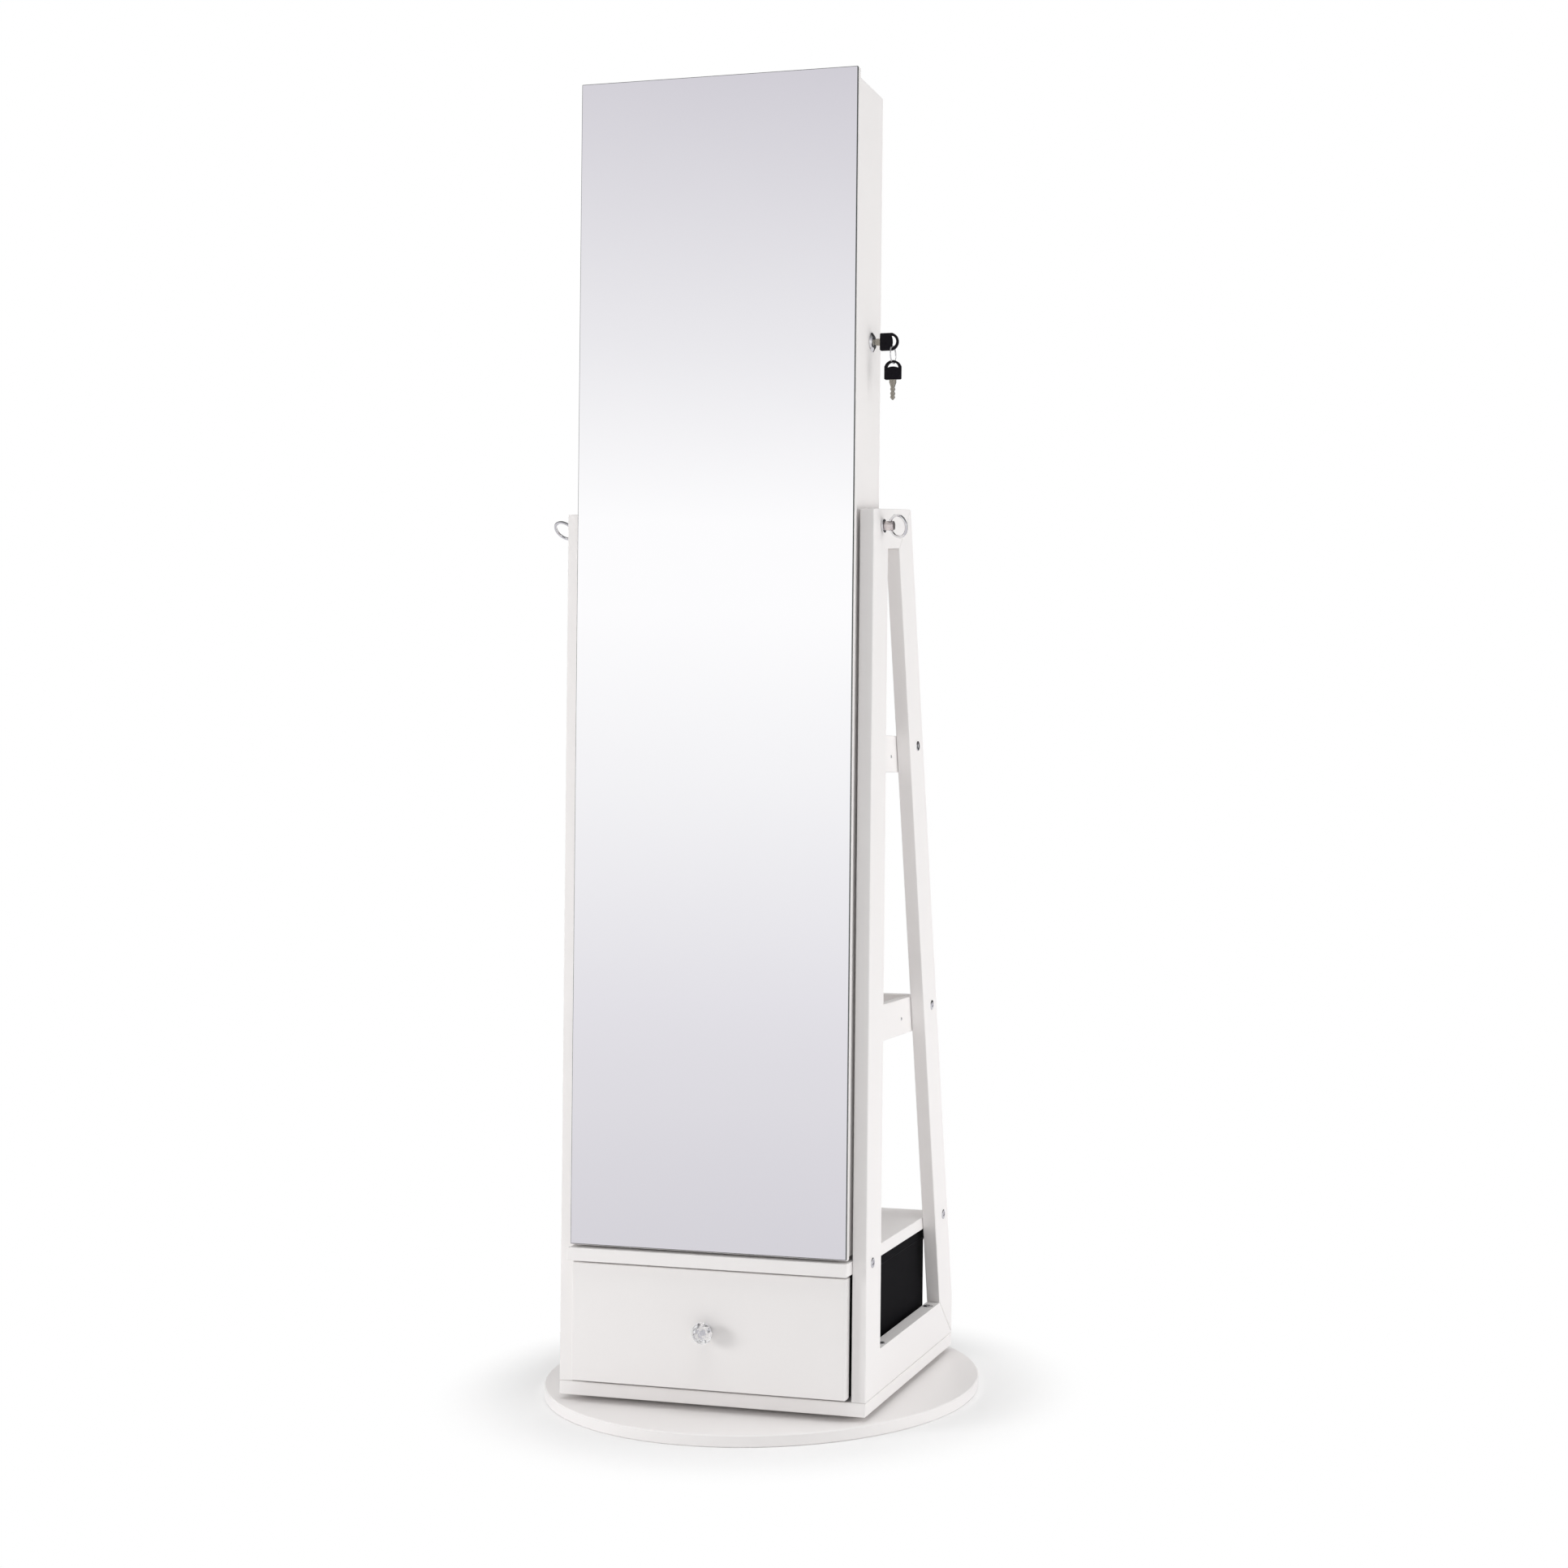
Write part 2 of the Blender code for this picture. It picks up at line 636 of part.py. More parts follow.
# Drawer: a white front, a black fabric box behind it and a clear faceted knob
def drawer():
    half = INNER_HALF - DRAWER_SIDE_GAP
    face = FRAME_FRONT - DRAWER_PROUD
    back = face + DRAWER_FRONT
    low = BOARD_TOP + DRAWER_BOTTOM_GAP
    high = SHELF_BOTTOM - DRAWER_TOP_GAP
    middle = (low + high) / 2
    front = soften(block("drawer_front", (-half, face, low), (half, back, high)), BOARD_EDGE)
    bore = rod("knob_bore", (0, face - DRAWER_FRONT, middle), (0, back + DRAWER_FRONT, middle),
               KNOB_SCREW_RADIUS + FIT)
    keep(cut(front, bore), WHITE_BOARD, DRAWER)

    box_half = INNER_HALF - BOX_SIDE_GAP
    box_front = back + FIT
    box_low = BOARD_TOP + BOX_SLIDE_GAP
    box_high = SHELF_BOTTOM - BOX_TOP_GAP
    outside = rounded_rectangle((-box_half, box_front), (box_half, box_front + BOX_DEPTH), BOX_CORNER)
    inside = rounded_rectangle((-box_half + BOX_WALL, box_front + BOX_WALL),
                               (box_half - BOX_WALL, box_front + BOX_DEPTH - BOX_WALL), BOX_CORNER - BOX_WALL)
    tall = box_high - box_low
    box = plate("drawer_box", [outside], tall, (0, 0, box_low + tall / 2), "XY")
    hollow = plate("drawer_box_hollow", [inside], tall, (0, 0, box_low + BOX_FLOOR + tall / 2), "XY")
    keep(cut(box, hollow), BLACK_FABRIC, DRAWER)

    seat = (0, face - FIT, middle)
    socket = STEM_RADIUS + FIT
    knob = [(0.0, KNOB_LENGTH), (KNOB_CROWN_RADIUS, KNOB_LENGTH), (KNOB_RADIUS, KNOB_BELT_HIGH),
            (KNOB_RADIUS, KNOB_BELT_LOW), (KNOB_NECK_RADIUS, KNOB_START), (socket, KNOB_START),
            (socket, STEM_LENGTH + FIT), (0.0, STEM_LENGTH + FIT)]
    keep(turned("drawer_knob", knob, seat, "-Y", KNOB_FACETS), CLEAR_ACRYLIC, DRAWER)
    screw = [(0.0, STEM_LENGTH), (STEM_RADIUS, STEM_LENGTH), (STEM_RADIUS, ROSETTE_THICKNESS * 2),
             (ROSETTE_RADIUS, ROSETTE_THICKNESS), (ROSETTE_RADIUS, 0.0), (KNOB_SCREW_RADIUS, 0.0),
             (KNOB_SCREW_RADIUS, -DRAWER_FRONT), (0.0, -DRAWER_FRONT)]
    keep(turned("drawer_knob_screw", screw, seat, "-Y", 24), CHROME, DRAWER)


# Tilting cabinet: two walls, a top, a bottom and a back, lined with velvet
def cabinet():
    for side, word in SIDES:
        near, far = sorted((side * BODY_INNER_HALF, side * BODY_HALF))
        wall = block(f"cabinet_{word}_wall", (near, BODY_FRONT, BODY_BOTTOM), (far, BODY_REAR, BODY_TOP))
        soften(wall, BOARD_EDGE)
        before = near - BODY_WALL
        beyond = far + BODY_WALL
        cut(wall, rod(f"cabinet_{word}_bore", (before, TILT_Y, TILT_Z), (beyond, TILT_Y, TILT_Z),
                      BOLT_RADIUS + RUNNING))
        if side > 0:
            cut(wall, rod("lock_bore", (before, LOCK_Y, LOCK_HEIGHT), (beyond, LOCK_Y, LOCK_HEIGHT),
                          BARREL_RADIUS + FIT, 32))
        keep(wall, WHITE_BOARD, CABINET)
    half = BODY_INNER_HALF - FIT
    board("cabinet_bottom", (-half, BODY_FRONT, BODY_BOTTOM),
          (half, BODY_REAR, BODY_BOTTOM + BODY_WALL), CABINET)
    board("cabinet_top", (-half, BODY_FRONT, BODY_TOP - BODY_WALL), (half, BODY_REAR, BODY_TOP), CABINET)
    low = BODY_BOTTOM + BODY_WALL + FIT
    high = BODY_TOP - BODY_WALL - FIT
    board("cabinet_back", (-half, BODY_REAR - BODY_BACK, low), (half, BODY_REAR, high), CABINET)
    board("cabinet_lining", (-half, LINING_FRONT, low), (half, LINING_BACK, high), CABINET, BLACK_VELVET)


# Fittings on the velvet: two shelves, a ring cushion, an earring panel and a necklace hook rail
def fittings():
    floor = BODY_BOTTOM + BODY_WALL
    back = LINING_FRONT - FIT
    half = BODY_INNER_HALF - FIT
    for word, height in (("lower", LOWER_SHELF_HEIGHT), ("upper", UPPER_SHELF_HEIGHT)):
        board(f"{word}_shelf", (-half, back - SHELF_DEPTH, floor + height),
              (half, back, floor + height + SHELF_THICKNESS), CABINET, BLACK_VELVET)
    left = -BODY_INNER_HALF + FITTING_LEFT_GAP
    right = BODY_INNER_HALF - FITTING_RIGHT_GAP
    width = right - left

    low = floor + CUSHION_HEIGHT
    front = back - CUSHION_BACK
    tall = 2 * CUSHION_ROLL_RADIUS * CUSHION_ROLLS
    rolls = [(back, low)]
    for count in reversed(range(CUSHION_ROLLS)):
        middle = low + tall - CUSHION_ROLL_RADIUS * (2 * count + 1)
        rolls += arc((front, middle), CUSHION_ROLL_RADIUS, math.pi * 1.5, math.pi * 0.5, 6)[:6]
    rolls += [(front, low + tall), (back, low + tall)]
    cushion = plate("ring_cushion", [rolls], width, (left + width / 2, 0, 0), "YZ")
    keep(cushion, BLACK_VELVET, CABINET)

    high = BODY_TOP - BODY_WALL - EARRING_PANEL_DROP
    low = high - EARRING_PANEL_TALL
    board("earring_panel", (left, back - EARRING_PANEL_THICKNESS, low), (right, back, high),
          CABINET, BLACK_VELVET)

    low -= HOOK_RAIL_DROP + HOOK_RAIL_TALL
    front = back - HOOK_RAIL_THICKNESS
    rail = block("necklace_rail", (left, front, low), (right, back, low + HOOK_RAIL_TALL))
    soften(rail, BOARD_EDGE)
    middle = low + HOOK_RAIL_TALL / 2
    way = Vector((0, -math.cos(HOOK_LIFT), math.sin(HOOK_LIFT))) * HOOK_LENGTH
    for count in range(HOOK_COUNT):
        across = left + width * (count + 0.5) / HOOK_COUNT
        root = Vector((across, front + HOOK_RAIL_THICKNESS / 2, middle))
        tip = Vector((across, front, middle)) + way
        join(rail, rod(f"necklace_hook_{count + 1}", root, tip, HOOK_RADIUS, 10))
    keep(rail, WHITE_BOARD, CABINET)


# Door: a white panel with a frameless mirror, lined inside, with the lock's strike bracket
def door():
    board("door_panel", (-DOOR_HALF, DOOR_FRONT, DOOR_BOTTOM), (DOOR_HALF, DOOR_BACK, TOTAL_HEIGHT), DOOR)
    board("door_mirror", (-DOOR_HALF, MIRROR_FRONT, DOOR_BOTTOM + MIRROR_LIFT),
          (DOOR_HALF, MIRROR_BACK, TOTAL_HEIGHT), DOOR, SILVERED_GLASS)
    inside = DOOR_BACK + FIT
    strike_left = strike_arm() - STRIKE_FLANGE
    board("door_lining", (-DOOR_HALF + DOOR_LINING_SIDE, inside, DOOR_BOTTOM + DOOR_LINING_INSET),
          (strike_left - FIT, inside + DOOR_LINING, TOTAL_HEIGHT - DOOR_LINING_INSET), DOOR, BLACK_VELVET)


def cam_plane():
    """The inner and outer face of the cam, just inside the lock's barrel."""
    outer = BODY_INNER_HALF - BARREL_INSIDE - FIT
    return outer - CAM_THICKNESS, outer


def strike_arm():
    """The inner face of the strike's arm, beside the cam."""
    return cam_plane()[0] - STRIKE_ARM_GAP - STRIKE_SHEET


def strike():
    arm = strike_arm()
    start = DOOR_BACK + FIT
    lip_front = LOCK_Y + CAM_WIDTH / 2 + RUNNING * 2
    end = lip_front + STRIKE_SHEET
    lip_end = cam_plane()[1] + STRIKE_LIP_REACH
    bent = [(arm - STRIKE_FLANGE, start), (arm + STRIKE_SHEET, start), (arm + STRIKE_SHEET, lip_front),
            (lip_end, lip_front), (lip_end, end), (arm, end), (arm, start + STRIKE_SHEET),
            (arm - STRIKE_FLANGE, start + STRIKE_SHEET)]
    tall = STRIKE_HIGH - STRIKE_LOW
    middle = LOCK_HEIGHT + (STRIKE_LOW + STRIKE_HIGH) / 2
    keep(plate("lock_strike", [bent], tall, (0, 0, middle), "XY"), STEEL, DOOR)


# Hinges: a body leaf with two knuckles and the pin, and a door leaf with the knuckle between them
def hinge(word, middle):
    plate_start = HINGE_X + KNUCKLE_RADIUS + KNUCKLE_GAP
    plate_end = plate_start + HINGE_LEAF_WIDTH
    low = middle - HINGE_LENGTH / 2
    high = middle + HINGE_LENGTH / 2
    knuckle_low = middle - DOOR_KNUCKLE / 2
    knuckle_high = middle + DOOR_KNUCKLE / 2
    axis = (HINGE_X, HINGE_Y)

    body_near = BODY_FRONT - FIT - HINGE_LEAF
    body_far = BODY_FRONT - FIT
    leaf = block(f"{word}_hinge_body_leaf", (plate_start, body_near, low), (plate_end, body_far, high))
    ends = ((low, knuckle_low - KNUCKLE_GAP), (knuckle_high + KNUCKLE_GAP, high))
    for count, (bottom, top) in enumerate(ends):
        tongue = block(f"{word}_body_tongue_{count}", (HINGE_X, body_near, bottom),
                       (plate_start + HINGE_LEAF, body_far, top))
        join(leaf, tongue)
        join(leaf, rod(f"{word}_body_knuckle_{count}", (*axis, bottom), (*axis, top), KNUCKLE_RADIUS, 16))
    pin_low = low + DOOR_KNUCKLE / 4
    pin_high = high - DOOR_KNUCKLE / 4
    join(leaf, rod(f"{word}_hinge_pin", (*axis, pin_low), (*axis, pin_high), HINGE_PIN_RADIUS, 12))
    keep(leaf, CHROME, CABINET)

    door_near = DOOR_BACK + FIT
    door_far = DOOR_BACK + FIT + HINGE_LEAF
    leaf = block(f"{word}_hinge_door_leaf", (plate_start, door_near, low), (plate_end, door_far, high))
    tongue = block(f"{word}_door_tongue", (HINGE_X, door_near, knuckle_low),
                   (plate_start + HINGE_LEAF, door_far, knuckle_high))
    join(leaf, tongue)
    join(leaf, rod(f"{word}_door_knuckle", (*axis, knuckle_low), (*axis, knuckle_high), KNUCKLE_RADIUS, 16))
    cut(leaf, rod(f"{word}_knuckle_bore", (*axis, low), (*axis, high), HINGE_PIN_RADIUS + RUNNING, 12))
    keep(leaf, CHROME, DOOR)


# Tilt hardware on each side: ring-headed bolt, pull ring, washer and nylon spacer
def tilt_hardware(side, word, bolt_turn, ring_swing):
    axis = "+X" if side > 0 else "-X"
    bore = BOLT_RADIUS + RUNNING
    washer_start = FRAME_HALF + FIT
    head_start = washer_start + WASHER_THICKNESS + FIT
    head_end = head_start + BOLT_HEAD_LENGTH
    bolt_end = BODY_INNER_HALF - BOLT_END_PROUD
    profile = [(0.0, head_end), (BOLT_HEAD_RADIUS, head_end), (BOLT_HEAD_RADIUS, head_start),
               (BOLT_RADIUS, head_start), (BOLT_RADIUS, bolt_end), (0.0, bolt_end)]
    bolt = turned(f"{word}_tilt_bolt", profile, (0, TILT_Y, TILT_Z), axis, 24)
    hole = Vector((side * RING_HOLE_OUT, TILT_Y, TILT_Z))
    roll = Matrix.Rotation(bolt_turn, 3, "X")
    reach = roll @ Vector((0, 0, BOLT_HEAD_RADIUS * 2))
    cut(bolt, rod(f"{word}_ring_hole", hole - reach, hole + reach, RING_HOLE_RADIUS, 16))
    keep(bolt, CHROME, BOLT_AXES[side])

    lean = roll @ Matrix.Rotation(ring_swing, 3, "Z")
    middle = hole + lean @ Vector((side * (RING_RADIUS - RING_BEND / 2), 0, 0))
    upright = lean @ Matrix.Rotation(math.radians(90), 3, "X")
    ring = wire_ring(f"{word}_tilt_ring", RING_RADIUS, RING_WIRE_RADIUS, middle, upright)
    keep(ring, CHROME, RING_AXES[side])

    flat = washer(f"{word}_tilt_washer", bore, WASHER_RADIUS, WASHER_THICKNESS,
                  (side * washer_start, TILT_Y, TILT_Z), axis)
    keep(flat, CHROME, FRAME)
    thickness = BODY_SIDE_GAP - 2 * FIT
    spacer = washer(f"{word}_tilt_spacer", bore, SPACER_RADIUS, thickness,
                    (side * (BODY_HALF + FIT), TILT_Y, TILT_Z), axis)
    keep(spacer, NYLON, FRAME)


# Lock: barrel with its escutcheon in the wall, turning plug, and cam on the plug's inner end
def lock():
    face = ESCUTCHEON_THICKNESS
    inner_end = -BODY_WALL - BARREL_INSIDE
    bore = PLUG_RADIUS + RUNNING
    seat = (BODY_HALF, LOCK_Y, LOCK_HEIGHT)
    barrel = [(bore, face), (ESCUTCHEON_NOSE_RADIUS, face), (ESCUTCHEON_RADIUS, ESCUTCHEON_RIM),
              (ESCUTCHEON_RADIUS, FIT), (BARREL_RADIUS, FIT), (BARREL_RADIUS, inner_end), (bore, inner_end)]
    keep(turned("lock_barrel", barrel, seat, "+X", 32, closed=True), CHROME, CABINET)

    cam_inner, cam_outer = cam_plane()
    stub_end = cam_inner - BODY_HALF - FIT
    plug = [(0.0, face), (PLUG_RADIUS, face), (PLUG_RADIUS, inner_end), (PLUG_STUB_RADIUS, inner_end),
            (PLUG_STUB_RADIUS, stub_end), (0.0, stub_end)]
    plug = turned("lock_plug", plug, seat, "+X", 28)
    mouth = BODY_HALF + face
    half_thick = KEY_BLADE_THICKNESS / 2 + FIT
    half_wide = KEY_BLADE_WIDTH / 2 + FIT
    depth = KEY_BLADE_LENGTH - KEY_SHOULDER + KEYWAY_END_GAP
    keyway = block("keyway", (mouth - depth, LOCK_Y - half_thick, LOCK_HEIGHT - half_wide),
                   (mouth + depth, LOCK_Y + half_thick, LOCK_HEIGHT + half_wide))
    keep(cut(plug, keyway), CHROME, LOCK)

    half = CAM_WIDTH / 2
    outline = rounded_rectangle((LOCK_Y - CAM_REACH, LOCK_HEIGHT - half),
                                (LOCK_Y + half, LOCK_HEIGHT + half), CAM_CORNER)
    hole = arc((LOCK_Y, LOCK_HEIGHT), PLUG_STUB_RADIUS + FIT, 0.0, math.tau, 16)[:16]
    middle = ((cam_inner + cam_outer) / 2, 0, 0)
    keep(plate("lock_cam", [outline, hole], CAM_THICKNESS, middle, "YZ"), STEEL, LOCK)


# Keys: a grooved, bitted blade in a black bow with a half-moon slot, one in the lock and one on the ring
def half_moon():
    """The bow's slot: a wide arc round the ring's seat, closed by a flat arch."""
    slot = arc((BOW_SLOT_SHIFT, 0), BOW_SLOT_RADIUS, -BOW_SLOT_REACH, BOW_SLOT_REACH, 14)
    corner_x, corner_z = slot[-1]
    arch_radius = (corner_z ** 2 + BOW_SLOT_ARCH ** 2) / (2 * BOW_SLOT_ARCH)
    reach = math.asin(corner_z / arch_radius)
    arch = arc((corner_x + BOW_SLOT_ARCH - arch_radius, 0), arch_radius, reach, -reach, 8)
    return slot + arch[1:-1]


def blade_edge():
    """The blade's upper edge from the tip to the tang, with wavy cuts and a tapered shoulder."""
    half = KEY_BLADE_WIDTH / 2
    wide = KEY_SHOULDER_WIDTH / 2
    tip = -BOW_FLAT - KEY_BLADE_LENGTH
    shoulder = -BOW_FLAT - KEY_SHOULDER + FIT
    start = tip + KEY_POINT
    pitch = (shoulder - start) / len(KEY_CUT_DEPTHS)
    edge = [(tip, KEY_TIP_WIDTH / 2)]
    for count, depth in enumerate(KEY_CUT_DEPTHS):
        for step in range(KEY_CUT_STEPS):
            share = step / KEY_CUT_STEPS
            dip = depth * (1 - math.cos(math.tau * share)) / 2
            edge.append((start + pitch * (count + share), half - dip))
    return edge + [(shoulder, half), (shoulder + KEY_SHOULDER_TAPER, wide), (-BOW_FLAT + KEY_TANG, wide)]


def key_outlines():
    """The blade and the bow, with the bow's centre at the origin and the blade pointing to -X."""
    edge = blade_edge()
    blade = edge + [(along, -up) for along, up in reversed(edge)]
    flat_half = BOW_RADIUS - BOW_TAPER
    turn = math.asin(flat_half / BOW_RADIUS)
    quarter = math.pi / 2
    corner_x = -BOW_FLAT + BOW_CORNER
    corner_z = flat_half - BOW_CORNER
    bow = arc((0, 0), BOW_RADIUS, -turn, turn, 16)
    bow += arc((corner_x, corner_z), BOW_CORNER, quarter, 2 * quarter, 3)
    bow += arc((corner_x, -corner_z), BOW_CORNER, 2 * quarter, 3 * quarter, 3)
    return blade, bow, half_moon()


def key(word, centre, turn, group):
    blade, bow, slot = key_outlines()

    def aim(outline):
        across, up = math.cos(turn), math.sin(turn)
        return [(x * across - z * up, x * up + z * across) for x, z in outline]

    steel = plate(f"{word}_blade", [aim(blade)], KEY_BLADE_THICKNESS, centre, "XZ")
    tip = -BOW_FLAT - KEY_BLADE_LENGTH
    groove = rounded_rectangle((tip + KEY_GROOVE_INSET, -KEY_GROOVE_WIDTH / 2),
                               (-BOW_FLAT - KEY_GROOVE_INSET, KEY_GROOVE_WIDTH / 2), KEY_GROOVE_CORNER)
    for side in (-1, 1):
        face = Vector(centre) + Vector((0, side * KEY_BLADE_THICKNESS / 2, 0))
        cut(steel, plate(f"{word}_groove", [aim(groove)], KEY_GROOVE_DEPTH * 2, face, "XZ"))
    keep(steel, CHROME, group)
    half = KEY_SHOULDER_WIDTH / 2 + FIT
    pocket = [(-BOW_FLAT + KEY_TANG + FIT, -half), (-BOW_FLAT + KEY_TANG + FIT, half),
              (-BOW_FLAT * 2, half), (-BOW_FLAT * 2, -half)]
    handle = plate(f"{word}_bow", [aim(bow), aim(slot)], BOW_THICKNESS, centre, "XZ")
    socket = plate(f"{word}_pocket", [aim(pocket)], KEY_BLADE_THICKNESS + 2 * FIT, centre, "XZ")
    keep(cut(handle, socket), BLACK_PLASTIC, group)


def keys():
    key("key", (BOW_CENTRE_X, LOCK_Y, LOCK_HEIGHT), 0.0, LOCK)
    middle = KEY_HANG_Z - KEY_RING_RADIUS
    ring_turn = Matrix.Rotation(math.radians(90), 3, "Y")
    ring = wire_ring("key_ring", KEY_RING_RADIUS, KEY_RING_WIRE, (KEY_HANG_X, LOCK_Y, middle), ring_turn, 28)
    keep(ring, CHROME, SPARE_KEY)
    hang = middle - KEY_RING_RADIUS - RING_SEAT_RADIUS - BOW_SLOT_SHIFT
    key("spare_key", (KEY_HANG_X, LOCK_Y, hang), math.radians(90), SPARE_KEY)


base_disc()
bearing()
frame_boards()
side_frames()
tray("middle", MIDDLE_TRAY_HEIGHT)
tray("upper", UPPER_TRAY_HEIGHT)
drawer()
cabinet()
fittings()
door()
strike()
hinge("lower", DOOR_BOTTOM + LOWER_HINGE_HEIGHT)
hinge("upper", TOTAL_HEIGHT - UPPER_HINGE_DROP)
tilt_hardware(1, "right", RIGHT_BOLT_TURN, RIGHT_RING_SWING)
tilt_hardware(-1, "left", LEFT_BOLT_TURN, LEFT_RING_SWING)
lock()
keys()
bpy.context.view_layer.update()
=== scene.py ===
# %% [markdown]
# # A swivel jewelry cabinet with a mirror door
#
# This lesson dresses a finished CAD model of a tall jewelry cabinet. A round base carries a white
# A-frame on a ball bearing, and between the front stiles hangs a shallow cabinet whose door is one
# long mirror. The CAD solids already have the right sizes and joints, so here we only add what makes
# them look real: light, finishes, cloth and small fasteners.
#
# Each one sits on a body, such as the drawer or the door, and every piece that we make later has to
# ride on one of those bodies too.

# %% Load the frame and remember its size
import json
import math

import bmesh
import bpy
from mathutils import Matrix, Vector, noise


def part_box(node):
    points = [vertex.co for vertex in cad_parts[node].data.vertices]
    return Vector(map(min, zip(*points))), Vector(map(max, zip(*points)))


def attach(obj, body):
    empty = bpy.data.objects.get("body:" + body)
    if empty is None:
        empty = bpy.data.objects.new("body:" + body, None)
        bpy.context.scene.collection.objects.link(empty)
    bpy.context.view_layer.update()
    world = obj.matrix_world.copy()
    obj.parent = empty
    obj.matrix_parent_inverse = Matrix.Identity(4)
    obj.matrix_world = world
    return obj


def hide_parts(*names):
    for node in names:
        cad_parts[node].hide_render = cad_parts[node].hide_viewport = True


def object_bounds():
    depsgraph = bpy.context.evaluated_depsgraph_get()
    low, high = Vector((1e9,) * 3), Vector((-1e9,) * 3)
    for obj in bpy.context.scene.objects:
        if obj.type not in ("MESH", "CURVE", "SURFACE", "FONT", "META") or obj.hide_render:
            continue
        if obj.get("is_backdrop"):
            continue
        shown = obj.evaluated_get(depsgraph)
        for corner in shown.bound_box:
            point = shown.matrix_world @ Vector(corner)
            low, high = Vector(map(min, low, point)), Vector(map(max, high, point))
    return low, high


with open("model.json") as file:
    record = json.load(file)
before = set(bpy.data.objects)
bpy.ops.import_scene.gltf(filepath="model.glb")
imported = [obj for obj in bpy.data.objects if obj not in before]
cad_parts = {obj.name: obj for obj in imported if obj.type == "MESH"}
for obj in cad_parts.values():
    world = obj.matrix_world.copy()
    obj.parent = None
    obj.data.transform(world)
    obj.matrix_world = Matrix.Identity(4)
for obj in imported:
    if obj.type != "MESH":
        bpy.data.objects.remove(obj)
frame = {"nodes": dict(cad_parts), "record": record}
nodes = frame["nodes"]
cad_low, cad_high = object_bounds()
print("frame:", len(nodes), "solids,", [round(side, 3) for side in cad_high - cad_low], "metres")

# %% [markdown]
# ## The camera
#
# The photograph was cropped after it was taken: the cabinet's upright lines stay parallel, and the
# lens points at a spot to the right of the picture's middle. A camera that is level and uses a little
# sideways shift gives the same picture. Turning the camera instead would make the uprights lean.

# %% A level camera with a sideways shift
IMAGE_SIDE = 1932
FOCAL_LENGTH = 2757.7
LENS_CENTRE = 1300
SENSOR_SIDE = 36.0
CAMERA_PLACE = Vector((1.0529, -2.7560, 0.7843))
CAMERA_RIGHT = Vector((0.97171, 0.23598, 0.00985))
CAMERA_UP = Vector((-0.00919, -0.00389, 0.99995))

camera = bpy.data.objects.new("camera", bpy.data.cameras.new("camera"))
camera.data.sensor_width = SENSOR_SIDE
camera.data.lens = SENSOR_SIDE * FOCAL_LENGTH / IMAGE_SIDE
camera.data.shift_x = (IMAGE_SIDE / 2 - LENS_CENTRE) / IMAGE_SIDE
axes = Matrix((CAMERA_RIGHT, CAMERA_UP, CAMERA_RIGHT.cross(CAMERA_UP))).transposed()
camera.matrix_world = Matrix.Translation(CAMERA_PLACE) @ axes.to_4x4()
bpy.context.scene.collection.objects.link(camera)
bpy.context.scene.camera = camera
bpy.context.scene.view_settings.view_transform = "Standard"
print("camera: lens", round(camera.data.lens, 2), "mm, shift", round(camera.data.shift_x, 3))

# %% [markdown]
# ## A white room for a mirror
#
# A mirror has no colour of its own, so the room decides how it looks. In the photograph it fades from
# lilac grey at the top to white at eye level and back to grey at the foot. A built room could give that
# fade, but a list of colours in a ramp is easier to tune. The first number of each stop is how far up
# we look, from 0 at the horizon to 1 overhead. High up the fade goes dark, because chrome needs
# something dark to reflect before it looks like metal.

# %% The fade that the mirror sees
ROOM_FADE = (
    (-0.10, (0.775, 0.765, 0.800)),
    (0.00, (0.915, 0.915, 0.925)),
    (0.075, (1.0, 1.0, 1.0)),
    (0.115, (1.0, 1.0, 1.0)),
    (0.19, (0.84, 0.835, 0.855)),
    (0.30, (0.655, 0.640, 0.685)),
    (0.55, (0.30, 0.30, 0.31)),
    (1.00, (0.06, 0.06, 0.06)),
)


def remap(tree, value, low, high, to_low=0.0, to_high=1.0, kind="LINEAR"):
    """Maps a number that runs from low to high onto another range."""
    share = tree.nodes.new("ShaderNodeMapRange")
    share.interpolation_type = kind
    ends = (("From Min", low), ("From Max", high), ("To Min", to_low), ("To Max", to_high))
    for word, number in ends:
        share.inputs[word].default_value = number
    tree.links.new(value, share.inputs["Value"])
    return share.outputs["Result"]


def fade(tree, stops, value):
    """A colour ramp over a number that runs from the first stop to the last."""
    low = stops[0][0]
    high = stops[-1][0]
    ramp = tree.nodes.new("ShaderNodeValToRGB")
    ends = ramp.color_ramp.elements
    while len(ends) < len(stops):
        ends.new(0.5)
    for end, (at, colour) in zip(ends, stops):
        end.position = (at - low) / (high - low)
        end.color = (*colour, 1.0)
    tree.links.new(remap(tree, value, low, high), ramp.inputs["Fac"])
    return ramp.outputs["Color"]


world = bpy.data.worlds.new("white_room")
bpy.context.scene.world = world
world.use_nodes = True
tree = world.node_tree
tree.nodes.clear()
way = tree.nodes.new("ShaderNodeTexCoord").outputs["Generated"]
parts = tree.nodes.new("ShaderNodeSeparateXYZ")
tree.links.new(way, parts.inputs["Vector"])
room_colour = fade(tree, ROOM_FADE, parts.outputs["Z"])
print("room fade:", len(ROOM_FADE), "stops")

# %% [markdown]
# ### Three skies
#
# One sky can't do everything. The boards want an even soft light, the camera wants plain white behind
# the cabinet, and the mirror wants its fade. So there are three backgrounds. The third also has a dark
# curtain far behind the cabinet, like the black cloth that photographers hang round metal. The mirror
# can't see it, but the curved edges of rings and washers can, and it draws their outlines.

